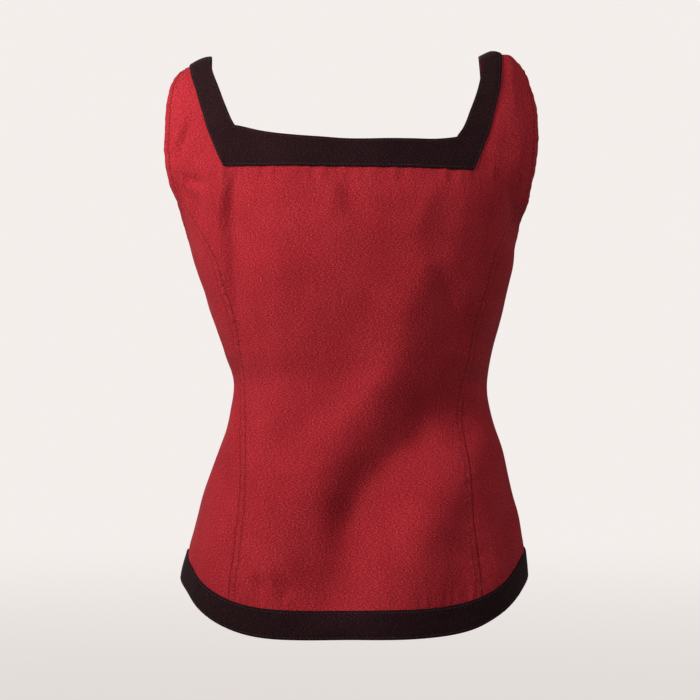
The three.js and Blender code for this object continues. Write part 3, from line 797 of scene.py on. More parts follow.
# %% [markdown]
# ## Edges, seams and gathering
#
# Sewing leaves its mark on the cloth round it. A turned edge drops into the seam, the seam allowance under
# it makes a low step at the row of topstitching, and the thread draws the cloth into small uneven gathers.
# A bump in the material could hint at them, but they show in the outline of a strap, so they are shape.

# %% Gathering
# the topstitching's distance from an edge, and the lengths and the shift of the waves in the gathers
TOPSTITCH = 6.8
PUCKER_LENGTHS = (8.5, 12.3, 17.1, 23.9)
PUCKER_SHIFT = 2.1
# height of the gathers by a sewn line, how far beside the line they are highest, and their reach
GATHERS = {
    "seam": (0.6, 5, 6), "armhole": (1.0, 5, 6), "hem": (0.8, 7, 9), "neck": (1.7, 6, 8),
    "underarm": (0.7, 6, 6),
}
# the neck's gathers are the hem's, moved sideways
NECK_SHIFT = 40
# how far an edge drops and over what width, and the same of the inner face
EDGE_DROP = 0.35
EDGE_ROUND = 1.2
INNER_DROP = 0.3
INNER_ROUND = 1.0
# the step of the seam allowance, how soft it is, and how far its curve is worked out
SEAM_STEP = 0.35
SEAM_SOFT = 0.5
STEP_END = 30
GRIDS = {}


def pucker(along):
    """Uneven gathering along a sewn line, from -1 to 1."""
    waves = [
        np.sin(along * 2 * np.pi / length + PUCKER_SHIFT * k) for k, length in enumerate(PUCKER_LENGTHS)
    ]
    return sum(waves) / len(waves)


def near(distance, middle, reach):
    """A soft bump that is 1 at a distance and fades over 'reach'."""
    return np.exp(-(((distance - middle) / reach) ** 2))


def gathers(kind, along, distance):
    """How far the gathers of one sewn line lift the cloth beside it."""
    height, middle, reach = GATHERS[kind]
    return height * pucker(along) * near(distance, middle, reach)


def seam_step(inset):
    """The low step where the seam allowance under the cloth ends."""
    past = np.clip((inset - TOPSTITCH) / SEAM_SOFT, -STEP_END, STEP_END)
    return SEAM_STEP / (1 + np.exp(past))


print("gathers along 50 mm of seam", np.round(gathers("seam", np.arange(0, 50, 10), 5), 2), "mm")

# %% Panels as pieces


def panel_piece(name):
    """A red panel as a closed wall, with its seams and the gathering by its sewn lines."""
    panel = PANELS[name]
    stations = fine_stations(panel)
    rows = fine_rows(panel["top"])
    strapped = panel["top"] > ROW["join"]
    middle = (stations[:-1] + stations[1:]) / 2
    strap = np.array(panel["straps"])[np.searchsorted(panel["starts"], middle) - 1]
    has = strap[:, None] | (rows[None, 1:] <= ROW["neck"])
    spots = panel["locate"](stations[:, None], rows[None, :])
    plain = form(spots)
    step = spans(plain, 0)
    if strapped:
        gone = ~strap[:, None] & (rows[None, :] > ROW["neck"])
        at_neck = step[:, np.searchsorted(rows, ROW["neck"])][:, None]
        step = np.where(gone, at_neck, step)
    across = running(step, 0)
    up = running(spans(plain, 1), 1)
    inset = np.minimum(across, across[-1] - across)
    cut = np.stack([across - across[-1] / 2, up], axis=-1)
    over_hem = up - up[:, np.searchsorted(rows, ROW["hem_band"])][:, None]
    by_edge = np.where(rows > ROW["join"], gathers("armhole", up, inset), gathers("seam", up, inset))
    lift = -EDGE_DROP * near(inset, 0, EDGE_ROUND) + by_edge
    lift += gathers("hem", across, over_hem)
    if strapped:
        lift += seam_step(inset)
        under_neck = up[:, np.searchsorted(rows, ROW["band"])][:, None] - up
        lift += gathers("neck", across + NECK_SHIFT, under_neck) * (rows <= ROW["band"])
        sewn = np.stack([up, inset - TOPSTITCH], axis=-1)
    else:
        under_arm = up[:, -1:] - up
        lift += gathers("underarm", across, under_arm)
        sewn = np.stack([across, under_arm - TOPSTITCH], axis=-1)
    outer = drape(spots, lift)
    inner = drape(spots, lift - CLOTH + INNER_DROP * near(inset, 0, INNER_ROUND))
    GRIDS[name] = {"outer": outer, "across": across, "up": up, "rows": rows}
    return wall(name, outer, inner, has, {"cut": cut, "sewn": sewn})


pieces = {name: panel_piece(name) for name in PANELS}
for name, piece in pieces.items():
    print(name, len(piece.data.polygons), "faces")

# %% [markdown]
# ## Bands
#
# The bands are folded strips of dark canvas laid on the red cloth and sewn down along both edges, with
# mitred corners at the square neck. Their places are taken from the panels below them and lifted, so a
# band follows every fold of what it lies on.

# %% A band as a piece
DEEP = ROW["neck"] - ROW["band"]
# half the slit at a mitre, and the distance from a band's edge to its stitches
MITRE = 0.22
BAND_STITCH = 2.4
# the dents and swellings across a band: height, distance from the edge or the end, reach
BAND_EDGE = (-0.42, 0, 0.7)
BAND_ROW = (-0.2, BAND_STITCH, 0.9)
BAND_SWELL = (0.14, 5, 2)
BAND_PUCKER = 0.12
BAND_END = (0.5, 4, 2.5)


def dent(distance, shape):
    """A dent or a swelling at some distance from an edge."""
    height, middle, reach = shape
    return height * near(distance, middle, reach)


def band_piece(name, spots, along_ends):
    """A band from a grid of places: along it, then across it. It swells at its ends where that is asked."""
    plain = form(spots)
    along = running(spans(plain, 0), 0)
    across = running(spans(plain, 1), 1)
    inset = np.minimum(across, across[:, -1:] - across)
    end = np.minimum(along, along[-1:] - along)
    rim = np.minimum(inset, np.where(along_ends, end, np.inf))
    swell, *beside = BAND_SWELL
    lift = dent(rim, BAND_EDGE) + dent(inset, BAND_ROW)
    lift += (swell + BAND_PUCKER * pucker(along)) * near(inset, *beside)
    lift += np.where(along_ends, dent(end, BAND_END), 0)
    outer = drape(spots, GAP + BAND + lift)
    inner = drape(spots, np.full(rim.shape, GAP))
    cut = np.stack([along, across], axis=-1)
    sewn = np.stack([along, inset - BAND_STITCH], axis=-1)
    GRIDS[name] = {"outer": outer, "across": across, "along": along}
    has = np.ones((spots.shape[0] - 1, spots.shape[1] - 1), bool)
    return wall(name, outer, inner, has, {"cut": cut, "sewn": sewn})


print("a band stands off", GAP, "mm and is", BAND, "mm thick")

# %% Neck bands
ACROSS = np.array([0, 0.05, 0.16, 0.3, 0.5, 0.75, 1, 1.5, 2, 2.25, 2.5, 2.7, 2.84, 2.95, 3]) / DEEP
# lines along a neck band, extra ones by its ends, and the share over which its mitre opens
NECK_LINES = {"back_panel": 90, "front_panel_left": 46, "front_panel_right": 46}
NECK_ENDS = [0.002, 0.005]
NECK_FADE = 0.05


def mitre(panel, side_edge):
    """Stations of the band line and the corner line by a panel's first (0) or last (-1) side edge."""
    starts = PANELS[panel]["starts"]
    return (starts[1], starts[2]) if side_edge == 0 else (starts[-2], starts[-3])


def straight_end(panel, side_edge):
    """The same where a panel ends at the middle of the front, and its band has a straight end."""
    station = PANELS[panel]["starts"][side_edge]
    return (station, station)


def lip(across):
    """How far a band's upper edge stands past the panel's edge, at rows above the band row."""
    return LIP * np.clip(across - (DEEP - 1), 0, 1)


def eased(count, ends):
    """Shares from 0 to 1, with extra lines close to the ends."""
    share = np.linspace(0, 1, count + 1)[1:-1]
    return np.concatenate([[0], ends, share, 1 - np.array(ends)[::-1], [1]])


def neck_strip(name, panel, start, stop):
    """A strip under the neck opening, from one end's (band, corner) stations to the other's."""
    along = eased(NECK_LINES[panel], NECK_ENDS)[:, None]
    across = (ACROSS * DEEP)[None, :]
    first = mix(start[0], start[1], across / DEEP)
    last = mix(stop[0], stop[1], across / DEEP)
    spots = PANELS[panel]["locate"](mix(first, last, along), ROW["band"] + across)
    fade = np.clip(1 - along / NECK_FADE, 0, 1) * (start[0] != start[1])
    fade = fade - np.clip(1 - (1 - along) / NECK_FADE, 0, 1) * (stop[0] != stop[1])
    return band_piece(name, slide(spots, fade * (MITRE + lip(across)), lip(across) + 0 * along), False)


for name, panel, first_end, last_end in [
    ("neck_band_back", "back_panel", mitre, mitre),
    ("neck_band_front_left", "front_panel_left", mitre, straight_end),
    ("neck_band_front_right", "front_panel_right", straight_end, mitre),
]:
    pieces[name] = neck_strip(name, panel, first_end(panel, 0), last_end(panel, -1))
    print(name, len(pieces[name].data.polygons), "faces")

# %% Strap bands
STRAP_LINES = 150
STRAP_ENDS = [0.001, 0.003]
STRAP_FADE = 0.03


def strap_strip(name, side):
    """The strip over a strap, from the mitre at the back over the shoulder to the mitre in front."""
    climb_rows = ROW["ridge"] - ROW["band"]
    deep = (ACROSS * DEEP)[None, :]
    along = eased(STRAP_LINES, STRAP_ENDS)[:, None]
    step = mix(deep, 2 * climb_rows - deep, along)
    front = step > climb_rows
    row = ROW["band"] + np.where(front, 2 * climb_rows - step, step)
    spots = []
    front_panel = "front_panel_left" if side > 0 else "front_panel_right"
    back_edge = -1 if side > 0 else 0
    for panel, outwards, side_edge in (("back_panel", side, back_edge), (front_panel, -side, -1 - back_edge)):
        band, corner = mitre(panel, side_edge)
        station = mix(band, corner, deep / DEEP) + 0 * row
        at = PANELS[panel]["locate"](station, row)
        ends = np.clip(1 - np.minimum(along, 1 - along) / STRAP_FADE, 0, 1)
        spots.append(slide(at, -outwards * lip(deep) + 0 * row, ends * (MITRE + lip(deep))))
    grid = np.where(front[..., None], spots[1], spots[0])
    if side > 0:
        grid = grid[:, ::-1]
    return band_piece(name, grid[::-1], False)


for word, side in SIDES.items():
    pieces[f"strap_band_{word}"] = strap_strip(f"strap_band_{word}", side)
    print(f"strap_band_{word}", len(pieces[f"strap_band_{word}"].data.polygons), "faces")

# %% Hem bands
HEM_ACROSS = np.array([0, 0.02, 0.05, 0.1, 0.16, 0.25, 0.4, 0.6, 0.75, 0.84, 0.9, 0.95, 0.98, 1])
HEM_ACROSS *= ROW["hem_band"]
# fine lines for each station of a panel, and the half slit, in stations, where two lengths are joined
HEM_LINES = {"side": 4, "back": 3, "front": 3}
HEM_SLIT = 0.015
HEM_JOIN = {"left": 5, "right": 4}
BACK_END = PANELS["back_panel"]["starts"][-1]
FRONT_END = PANELS["front_panel_left"]["starts"][-1]


def hem_strip(name, run):
    """A band round the lower edge: 'run' lists panels with their first and last stations."""
    spots = []
    for k, (panel, first, last) in enumerate(run):
        count = int(round(abs(last - first) * HEM_LINES[panel.split("_")[0]]))
        station = np.linspace(first, last, count + 1)[(1 if k else 0):]
        spots.append(PANELS[panel]["locate"](station[:, None], HEM_ACROSS[None, :]))
    spots = np.concatenate(spots)
    drop = -LIP * np.clip(1 - HEM_ACROSS, 0, 1)[None, :]
    return band_piece(name, slide(spots, 0, drop + np.zeros(spots.shape[:2])), True)


for name, run in {
    "hem_band_front_right": [
        ("front_panel_right", 0, FRONT_END), ("side_panel_right", 0, HEM_JOIN["right"] - HEM_SLIT),
    ],
    "hem_band_back": [
        ("side_panel_right", HEM_JOIN["right"] + HEM_SLIT, SIDE_CELLS), ("back_panel", 0, BACK_END),
        ("side_panel_left", 0, HEM_JOIN["left"] - HEM_SLIT),
    ],
    "hem_band_front_left": [
        ("side_panel_left", HEM_JOIN["left"] + HEM_SLIT, SIDE_CELLS), ("front_panel_left", 0, FRONT_END),
    ],
}.items():
    pieces[name] = hem_strip(name, run)
    print(name, len(pieces[name].data.polygons), "faces")

# %% [markdown]
# ## Canvas
#
# Canvas is a plain weave: each thread goes over one and under the next. Its yarn is uneven, so thicker
# lengths, called slubs, catch the light as short flecks along and across the cloth. A picture of real
# cloth would show all this, but it would repeat and be fixed in size. The weave is built from the `cut`
# map instead, in a node group with named inputs, and each canvas gives it its own colours.

# %% Helpers for node trees


def group_socket(tree, name, way, kind="NodeSocketFloat", value=None):
    """Adds a named socket to a node group."""
    socket = tree.interface.new_socket(name=name, in_out=way, socket_type=kind)
    if value is not None:
        socket.default_value = value
    return socket


def add_node(tree, kind, values=None, **settings):
    """Adds a node, sets its properties, and sets its plain inputs by name or number."""
    node = tree.nodes.new(kind)
    for key, setting in settings.items():
        setattr(node, key, setting)
    for key, value in (values or {}).items():
        node.inputs[key].default_value = value
    return node


def math(tree, operation, first, second=None, third=None):
    """A Math node whose inputs are sockets or numbers; returns its output."""
    node = add_node(tree, "ShaderNodeMath", operation=operation)
    for k, given in enumerate((first, second, third)):
        if isinstance(given, (int, float)):
            node.inputs[k].default_value = given
        elif given is not None:
            tree.links.new(given, node.inputs[k])
    return node.outputs[0]


def yarn_noise(tree, uv, scale, detail=2.0):
    """Noise on the cut map, with its own scale across and up the cloth."""
    mapping = add_node(tree, "ShaderNodeMapping", {"Scale": (scale[0], scale[1], 1.0)})
    tree.links.new(uv, mapping.inputs["Vector"])
    noise = add_node(tree, "ShaderNodeTexNoise", {"Scale": 1.0, "Detail": detail}, noise_dimensions="2D")
    tree.links.new(mapping.outputs[0], noise.inputs["Vector"])
    return noise.outputs["Fac"]


print("node helpers ready")

# %% The weave group
# bumps in a metre, across and up the cloth: slubs of the warp and of the weft, fibres, uneven dye
WARP_SLUBS = (1700, 600)
WEFT_SLUBS = (520, 1600)
FIBRES = (1400, 1400)
CLOUDS = (26, 18)
# the weft's slubs are this much stronger than the warp's, and noise has a mean of one half
WEFT_SHARE = 2.3
NOISE_MEAN = 0.5
SLUB_MEAN = NOISE_MEAN * (1 + WEFT_SHARE)
# what fibres and the weave add to the flecks, and what the weave and slubs add to the height
FLECK_FIBRES = 0.3
FLECK_WEAVE = 0.1
HEIGHT_WEAVE = 0.5
HEIGHT_SLUBS = 1.6


def plain_weave():
    """The weave group: height of the threads, and masks for light flecks and for clouds of uneven dye."""
    tree = bpy.data.node_groups.new("plain_weave", "ShaderNodeTree")
    group_socket(tree, "Cut", "INPUT", "NodeSocketVector")
    group_socket(tree, "Pitch", "INPUT", value=0.00075)
    group_socket(tree, "Slub", "INPUT", value=0.95)
    group_socket(tree, "Height", "OUTPUT")
    group_socket(tree, "Fleck", "OUTPUT")
    group_socket(tree, "Cloud", "OUTPUT")
    inputs = add_node(tree, "NodeGroupInput")
    outputs = add_node(tree, "NodeGroupOutput")
    split = add_node(tree, "ShaderNodeSeparateXYZ")
    tree.links.new(inputs.outputs["Cut"], split.inputs[0])
    thread = []
    for axis in (0, 1):
        turns = math(tree, "DIVIDE", split.outputs[axis], inputs.outputs["Pitch"])
        thread.append(math(tree, "SINE", math(tree, "MULTIPLY", turns, float(np.pi))))
    over = math(tree, "MULTIPLY", thread[0], thread[1])
    warp = yarn_noise(tree, inputs.outputs["Cut"], WARP_SLUBS)
    weft = yarn_noise(tree, inputs.outputs["Cut"], WEFT_SLUBS)
    fine = yarn_noise(tree, inputs.outputs["Cut"], FIBRES, 1.0)
    slub = math(tree, "ADD", math(tree, "ADD", warp, math(tree, "MULTIPLY", weft, WEFT_SHARE)), -SLUB_MEAN)
    fleck = math(tree, "MULTIPLY", slub, inputs.outputs["Slub"])
    fibres = math(tree, "MULTIPLY", math(tree, "ADD", fine, -NOISE_MEAN), FLECK_FIBRES)
    fleck = math(tree, "ADD", math(tree, "ADD", fleck, fibres), math(tree, "MULTIPLY", over, FLECK_WEAVE))
    tree.links.new(fleck, outputs.inputs["Fleck"])
    ribs = math(tree, "MULTIPLY", over, HEIGHT_WEAVE)
    height = math(tree, "ADD", ribs, math(tree, "MULTIPLY", slub, HEIGHT_SLUBS))
    tree.links.new(height, outputs.inputs["Height"])
    cloud = yarn_noise(tree, inputs.outputs["Cut"], CLOUDS, 3.0)
    tree.links.new(cloud, outputs.inputs["Cloud"])
    return tree


WEAVE = plain_weave()
print("weave group with", len(WEAVE.nodes), "nodes")

# %% [markdown]
# ## The two canvases
#
# The red and the brown-black canvas are the same cloth in two dyes, so one function makes both. A needle
# leaves a slightly sunken row; the shade in its holes is painted into the colour as a dark dotted row, and
# the shade in the slit of a seam, along the panels' edges, is painted darker still. Both are drawn with the
# `sewn` map, because thread and slit alone would be too thin to show from across a room.

# %% Canvas materials
# in metres: length of a stitch, half width of the sunken row and its painted shade, half width of the seam's
# painted shadow
STITCH_PITCH = 0.003
ROW_WIDTH = 0.00065
SEAM_WIDTH = 0.0006
# how much of the row's painted shade comes and goes with the needle holes, and how dark a seam's painted
# shadow is
HOLES = 0.35
SEAM_SHADE = 0.6
# dents by a sewn line: how fast they fade beside it, and bumps in a metre along and across it
DENT_FADE = 0.016
DENTS = (230, 110)
# height of the threads and depth of the row, in metres, and the painted shade's colour in holes and slits, as
# a share of the darkest yarn's colour
THREAD_HEIGHT = 0.00016
ROW_DEPTH = 0.0003
PAINTED_SHADE_SHARE = 0.3


def bell(tree, value, sharpness=1.0):
    """A mask that is 1 where a value is 0 and falls off softly to both sides."""
    square = math(tree, "MULTIPLY", value, value)
    return math(tree, "EXPONENT", math(tree, "MULTIPLY", square, -sharpness))


def canvas(name, colours, clouds, pitch, slubs, needle_shade, gather):
    """A canvas: yarn colours from dark to light, a weave bump, sunken rows of needle holes, and painted shade
    in the holes and in the seams' slits.
    """
    material = bpy.data.materials.new(name)
    material.use_nodes = True
    tree = material.node_tree
    tree.nodes.clear()
    output = add_node(tree, "ShaderNodeOutputMaterial")
    shader = add_node(tree, "ShaderNodeBsdfPrincipled", {
        "Roughness": 0.92, "Specular IOR Level": 0.06, "Sheen Weight": 0.01, "Sheen Roughness": 0.5,
    })
    tree.links.new(shader.outputs[0], output.inputs["Surface"])
    cut = add_node(tree, "ShaderNodeUVMap", uv_map="cut")
    weave = add_node(tree, "ShaderNodeGroup")
    weave.node_tree = WEAVE
    weave.inputs["Pitch"].default_value = pitch
    weave.inputs["Slub"].default_value = slubs
    tree.links.new(cut.outputs[0], weave.inputs["Cut"])
    tone = math(tree, "ADD", weave.outputs["Fleck"], NOISE_MEAN)
    cloud = math(tree, "MULTIPLY", math(tree, "ADD", weave.outputs["Cloud"], -NOISE_MEAN), clouds)
    ramp = add_node(tree, "ShaderNodeValToRGB")
    tree.links.new(math(tree, "ADD", tone, cloud), ramp.inputs["Fac"])
    while len(ramp.color_ramp.elements) < len(colours):
        ramp.color_ramp.elements.new(NOISE_MEAN)
    for element, (at, colour) in zip(ramp.color_ramp.elements, colours):
        element.position = at
        element.color = (*colour, 1)
    sewn = add_node(tree, "ShaderNodeUVMap", uv_map="sewn")
    split = add_node(tree, "ShaderNodeSeparateXYZ")
    tree.links.new(sewn.outputs[0], split.inputs[0])
    # painted shade: a dark dotted row where the needle holes hold shade, and a darker line in each seam's
    # slit, are mixed into the yarn colour below
    off = math(tree, "DIVIDE", split.outputs[1], ROW_WIDTH)
    turns = math(tree, "MULTIPLY", split.outputs[0], 2 * float(np.pi) / STITCH_PITCH)
    holes = math(tree, "ADD", math(tree, "MULTIPLY", math(tree, "COSINE", turns), HOLES), 1 - HOLES)
    row = math(tree, "MULTIPLY", bell(tree, off), holes)
    seam = bell(tree, math(tree, "DIVIDE", math(tree, "ADD", split.outputs[1], TOPSTITCH * MM), SEAM_WIDTH))
    dents = math(tree, "ADD", yarn_noise(tree, sewn.outputs[0], DENTS, 1.5), -NOISE_MEAN)
    dents = math(tree, "MULTIPLY", math(tree, "MULTIPLY", bell(tree, off, DENT_FADE), dents), gather)
    shade = add_node(tree, "ShaderNodeMix", data_type="RGBA")
    seam = math(tree, "MULTIPLY", seam, SEAM_SHADE)
    tree.links.new(math(tree, "MAXIMUM", math(tree, "MULTIPLY", row, needle_shade), seam), shade.inputs[0])
    tree.links.new(ramp.outputs[0], shade.inputs[6])
    shade.inputs[7].default_value = (*[value * PAINTED_SHADE_SHARE for value in colours[0][1]], 1)
    tree.links.new(shade.outputs[2], shader.inputs["Base Color"])
    threads = math(tree, "MULTIPLY", weave.outputs["Height"], THREAD_HEIGHT)
    height = math(tree, "ADD", threads, math(tree, "MULTIPLY", row, -ROW_DEPTH))
    height = math(tree, "ADD", height, dents)
    lift = add_node(tree, "ShaderNodeBump", {"Strength": 1.0, "Distance": 1.0})
    tree.links.new(height, lift.inputs["Height"])
    tree.links.new(lift.outputs[0], shader.inputs["Normal"])
    return material


# each canvas sets how strong the painted shade in its rows of needle holes is
red_canvas = canvas("woven_red_canvas", [
    (0.0, (0.098, 0.0050, 0.0076)),
    (0.36, (0.254, 0.0110, 0.0166)),
    (0.56, (0.345, 0.0160, 0.0240)),
    (0.75, (0.422, 0.0272, 0.0368)),
    (1.0, (0.525, 0.0680, 0.0810)),
], clouds=0.2, pitch=0.00075, slubs=0.7, needle_shade=0.85, gather=0.0015)
dark_canvas = canvas("woven_dark_canvas", [
    (0.0, (0.0040, 0.0011, 0.0016)),
    (0.38, (0.0105, 0.0028, 0.0040)),
    (0.58, (0.0150, 0.0042, 0.0058)),
    (0.76, (0.0260, 0.0095, 0.0110)),
    (1.0, (0.0650, 0.0320, 0.0330)),
], clouds=0.12, pitch=0.0007, slubs=0.6, needle_shade=0.4, gather=0.0010)
for name, piece in pieces.items():
    piece.data.materials.append(dark_canvas if "band" in name else red_canvas)
print("materials", red_canvas.name, dark_canvas.name)

# %% [markdown]
# ## Rows of stitches
#
# A sewing machine leaves a row of short even stitches. Each is a small bead of thread that lies in a
# shallow groove. Modelling thousands by hand is out of the question, so a Geometry Nodes tree walks along
# a line, sets one bead every few millimetres and turns it along the line. The lines are read off the
# finished cloth, so the thread lies on its surface, also where that is gathered.

# %% The stitch tree
THREAD_WIDTH = 0.00085
# half a bead's length next to the length of a stitch, and how uneven the beads are
BEAD_REACH = 0.37
BEAD_LEAST = (0.85, 0.9, 0.9)
BEAD_MOST = (1.06, 1.1, 1.1)
BEAD_SEED = 5


def lockstitch():
    """Geometry Nodes: a bead of thread at every step along the edges of a mesh."""
    tree = bpy.data.node_groups.new("lockstitch", "GeometryNodeTree")
    group_socket(tree, "Geometry", "INPUT", "NodeSocketGeometry")
    group_socket(tree, "Pitch", "INPUT", value=STITCH_PITCH)
    group_socket(tree, "Thread", "INPUT", value=THREAD_WIDTH)
    group_socket(tree, "Finish", "INPUT", "NodeSocketMaterial")
    group_socket(tree, "Geometry", "OUTPUT", "NodeSocketGeometry")
    given = add_node(tree, "NodeGroupInput")
    made = add_node(tree, "NodeGroupOutput")
    line = add_node(tree, "GeometryNodeMeshToCurve")
    step = add_node(tree, "GeometryNodeResampleCurve", mode="LENGTH")
    tangent = add_node(tree, "GeometryNodeInputTangent")
    turn = add_node(tree, "FunctionNodeAlignRotationToVector", axis="X")
    scatter = {"Min": BEAD_LEAST, "Max": BEAD_MOST, "Seed": BEAD_SEED}
    uneven = add_node(tree, "FunctionNodeRandomValue", scatter, data_type="FLOAT_VECTOR")
    bead = add_node(tree, "GeometryNodeMeshUVSphere", {"Segments": 6, "Rings": 4, "Radius": 1.0})
    size = add_node(tree, "ShaderNodeCombineXYZ")
    shape = add_node(tree, "GeometryNodeTransform")
    stitches = add_node(tree, "GeometryNodeInstanceOnPoints")
    real = add_node(tree, "GeometryNodeRealizeInstances")
    smooth = add_node(tree, "GeometryNodeSetShadeSmooth")
    finish = add_node(tree, "GeometryNodeSetMaterial")
    join = tree.links.new
    join(given.outputs["Geometry"], line.inputs["Mesh"])
    join(line.outputs[0], step.inputs["Curve"])
    join(given.outputs["Pitch"], step.inputs["Length"])
    join(step.outputs[0], stitches.inputs["Points"])
    join(tangent.outputs[0], turn.inputs["Vector"])
    join(turn.outputs[0], stitches.inputs["Rotation"])
    join(uneven.outputs[0], stitches.inputs["Scale"])
    join(math(tree, "MULTIPLY", given.outputs["Pitch"], BEAD_REACH), size.inputs[0])
    for side in (1, 2):
        join(math(tree, "MULTIPLY", given.outputs["Thread"], 0.5), size.inputs[side])
    join(bead.outputs["Mesh"], shape.inputs["Geometry"])
    join(size.outputs[0], shape.inputs["Scale"])
    join(shape.outputs[0], stitches.inputs["Instance"])
    join(stitches.outputs[0], real.inputs[0])
    join(real.outputs[0], smooth.inputs[0])
    join(smooth.outputs[0], finish.inputs["Geometry"])
    join(given.outputs["Finish"], finish.inputs["Material"])
    join(finish.outputs[0], made.inputs[0])
    return tree


LOCKSTITCH = lockstitch()
print("stitch tree with", len(LOCKSTITCH.nodes), "nodes")

# %% [markdown]
# ## Lines read off the cloth
#
# The stitches could follow the pattern lines, but gathers and folds would then swallow them. Each panel
# kept the grid of its outer face, and a row of stitches is the line on it that lies a fixed way in from
# an edge.

# %% Lines read off the cloth


def level_line(distance, points, at):
    """Where a distance is reached on each line of a grid: distances and points run along axis 1."""
    pick = lambda row, way: np.interp(at[row], distance[row], points[row, :, way])
    return np.array([[pick(row, way) for way in range(3)] for row in range(len(distance))])


def side_row(name, last, top):
    """A row of stitches inside a panel's first or last side edge, from the hem band up to a row."""
    grid = GRIDS[name]
    across = grid["across"].T
    at = across[:, -1] - TOPSTITCH if last else across[:, 0] + TOPSTITCH
    chosen = (grid["rows"] >= ROW["hem_band"]) & (grid["rows"] <= ROW[top])
    return level_line(across, np.swapaxes(grid["outer"], 0, 1), at)[chosen]


def underarm_row(name):
    """A row of stitches under the arm, inside a side panel's upper edge."""
    grid = GRIDS[name]
    return level_line(grid["up"], grid["outer"], grid["up"][:, -1] - TOPSTITCH)


def band_rows(name):
    """The two rows of stitches along a band, just inside its edges."""
    grid = GRIDS[name]
    low = np.full(len(grid["across"]), BAND_STITCH)
    high = grid["across"][:, -1] - BAND_STITCH
    return [level_line(grid["across"], grid["outer"], at) for at in (low, high)]


STITCH_ROWS = {
    "back_panel": [side_row("back_panel", last, "ridge") for last in (False, True)],
    "front_panel_left": [
        side_row("front_panel_left", False, "ridge"), side_row("front_panel_left", True, "band"),
    ],
    "front_panel_right": [
        side_row("front_panel_right", True, "ridge"), side_row("front_panel_right", False, "band"),
    ],
    "side_panel_left": [underarm_row("side_panel_left")],
    "side_panel_right": [underarm_row("side_panel_right")],
}
STITCH_ROWS.update({name: band_rows(name) for name in pieces if "band" in name})
print("rows of stitches", sum(len(rows) for rows in STITCH_ROWS.values()))

# %% [markdown]
# ## Thread
#
# The thread is a fuzzy yarn in nearly the colour of the cloth, a little smoother than the canvas, so it
# catches slightly more light. A fine noise over the bead gives its fibres.

# %% Thread
FIBRES_OF_THREAD = 2600.0
FIBRE_HEIGHT = 0.0002
DARKER, LIGHTER = 0.6, 1.4


def thread(name, colour):
    """A sewing thread with fine fibres."""
    material = bpy.data.materials.new(name)
    material.use_nodes = True
    tree = material.node_tree
    shader = tree.nodes["Principled BSDF"]
    shader.inputs["Roughness"].default_value = 0.75
    shader.inputs["Specular IOR Level"].default_value = 0.2
    where = add_node(tree, "ShaderNodeTexCoord")
    fibres = add_node(tree, "ShaderNodeTexNoise", {"Scale": FIBRES_OF_THREAD, "Detail": 1.0})
    tree.links.new(where.outputs["Object"], fibres.inputs["Vector"])
    tone = add_node(tree, "ShaderNodeMix", data_type="RGBA")
    tree.links.new(fibres.outputs["Fac"], tone.inputs[0])
    tone.inputs[6].default_value = (*[value * DARKER for value in colour], 1)
    tone.inputs[7].default_value = (*[value * LIGHTER for value in colour], 1)
    tree.links.new(tone.outputs[2], shader.inputs["Base Color"])
    lift = add_node(tree, "ShaderNodeBump", {"Strength": 0.5, "Distance": FIBRE_HEIGHT})
    tree.links.new(fibres.outputs["Fac"], lift.inputs["Height"])
    tree.links.new(lift.outputs[0], shader.inputs["Normal"])
    return material


red_thread = thread("red_thread", (0.230, 0.0130, 0.0190))
dark_thread = thread("dark_thread", (0.030, 0.0140, 0.0150))
print("threads", red_thread.name, dark_thread.name)

# %% Stitches as pieces


def stitched(name, lines, finish):
    """The stitches of one piece as a plain mesh."""
    points = np.concatenate(lines) - ORIGIN
    ends = np.cumsum([len(line) for line in lines])
    edges = [(k, k + 1) for k in range(len(points) - 1) if k + 1 not in ends]
    mesh = bpy.data.meshes.new("line")
    mesh.from_pydata((points * MM).tolist(), edges, [])
    guide = bpy.data.objects.new("line", mesh)
    bpy.context.scene.collection.objects.link(guide)
    steps = guide.modifiers.new("stitches", "NODES")
    steps.node_group = LOCKSTITCH
    named = {socket.name: socket.identifier for socket in LOCKSTITCH.interface.items_tree}
    steps[named["Pitch"]] = STITCH_PITCH
    steps[named["Thread"]] = THREAD_WIDTH
    steps[named["Finish"]] = finish
    ready = guide.evaluated_get(bpy.context.evaluated_depsgraph_get())
    beads = bpy.data.meshes.new_from_object(ready)
    beads.name = f"{name}_stitches"
    piece = bpy.data.objects.new(f"{name}_stitches", beads)
    bpy.context.scene.collection.objects.link(piece)
    bpy.data.objects.remove(guide)
    return piece


stitches = {}
for name, lines in STITCH_ROWS.items():
    stitches[name] = stitched(name, lines, dark_thread if "band" in name else red_thread)
print("stitch faces", sum(len(piece.data.polygons) for piece in stitches.values()))

# %% [markdown]
# ## What each piece stands for
#
# Every piece rides on the one rigid body and replaces the solid of the same name. Each is a flat piece of
# cloth, so the size it was cut to is worked out from its cut map and printed.


def cut_size(piece):
    """Width, length and area of a piece as it lies flat: its cut map's extent and one face's area."""
    mesh = piece.data
    outer = len(mesh.vertices) // 2
    flat = np.zeros(2 * len(mesh.loops), np.float32)
    mesh.uv_layers["cut"].uv.foreach_get("vector", flat)
    area = sum(face.area for face in mesh.polygons if max(face.vertices) < outer)
    return np.ptp(flat.reshape(-1, 2), axis=0), area


for name, piece in pieces.items():
    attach(piece, "root")
    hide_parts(name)
    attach(stitches[name], "root")
    size, area = cut_size(piece)
    print(name, "flat", np.round(size, 4), "cut", round(area, 5))

# %% [markdown]
# ## Floor and background
#
# The bodice is held up by nobody, so the floor lies well below it. It glows a little, like lit paper, and
# fades into the plain background far away, so that no horizon shows.

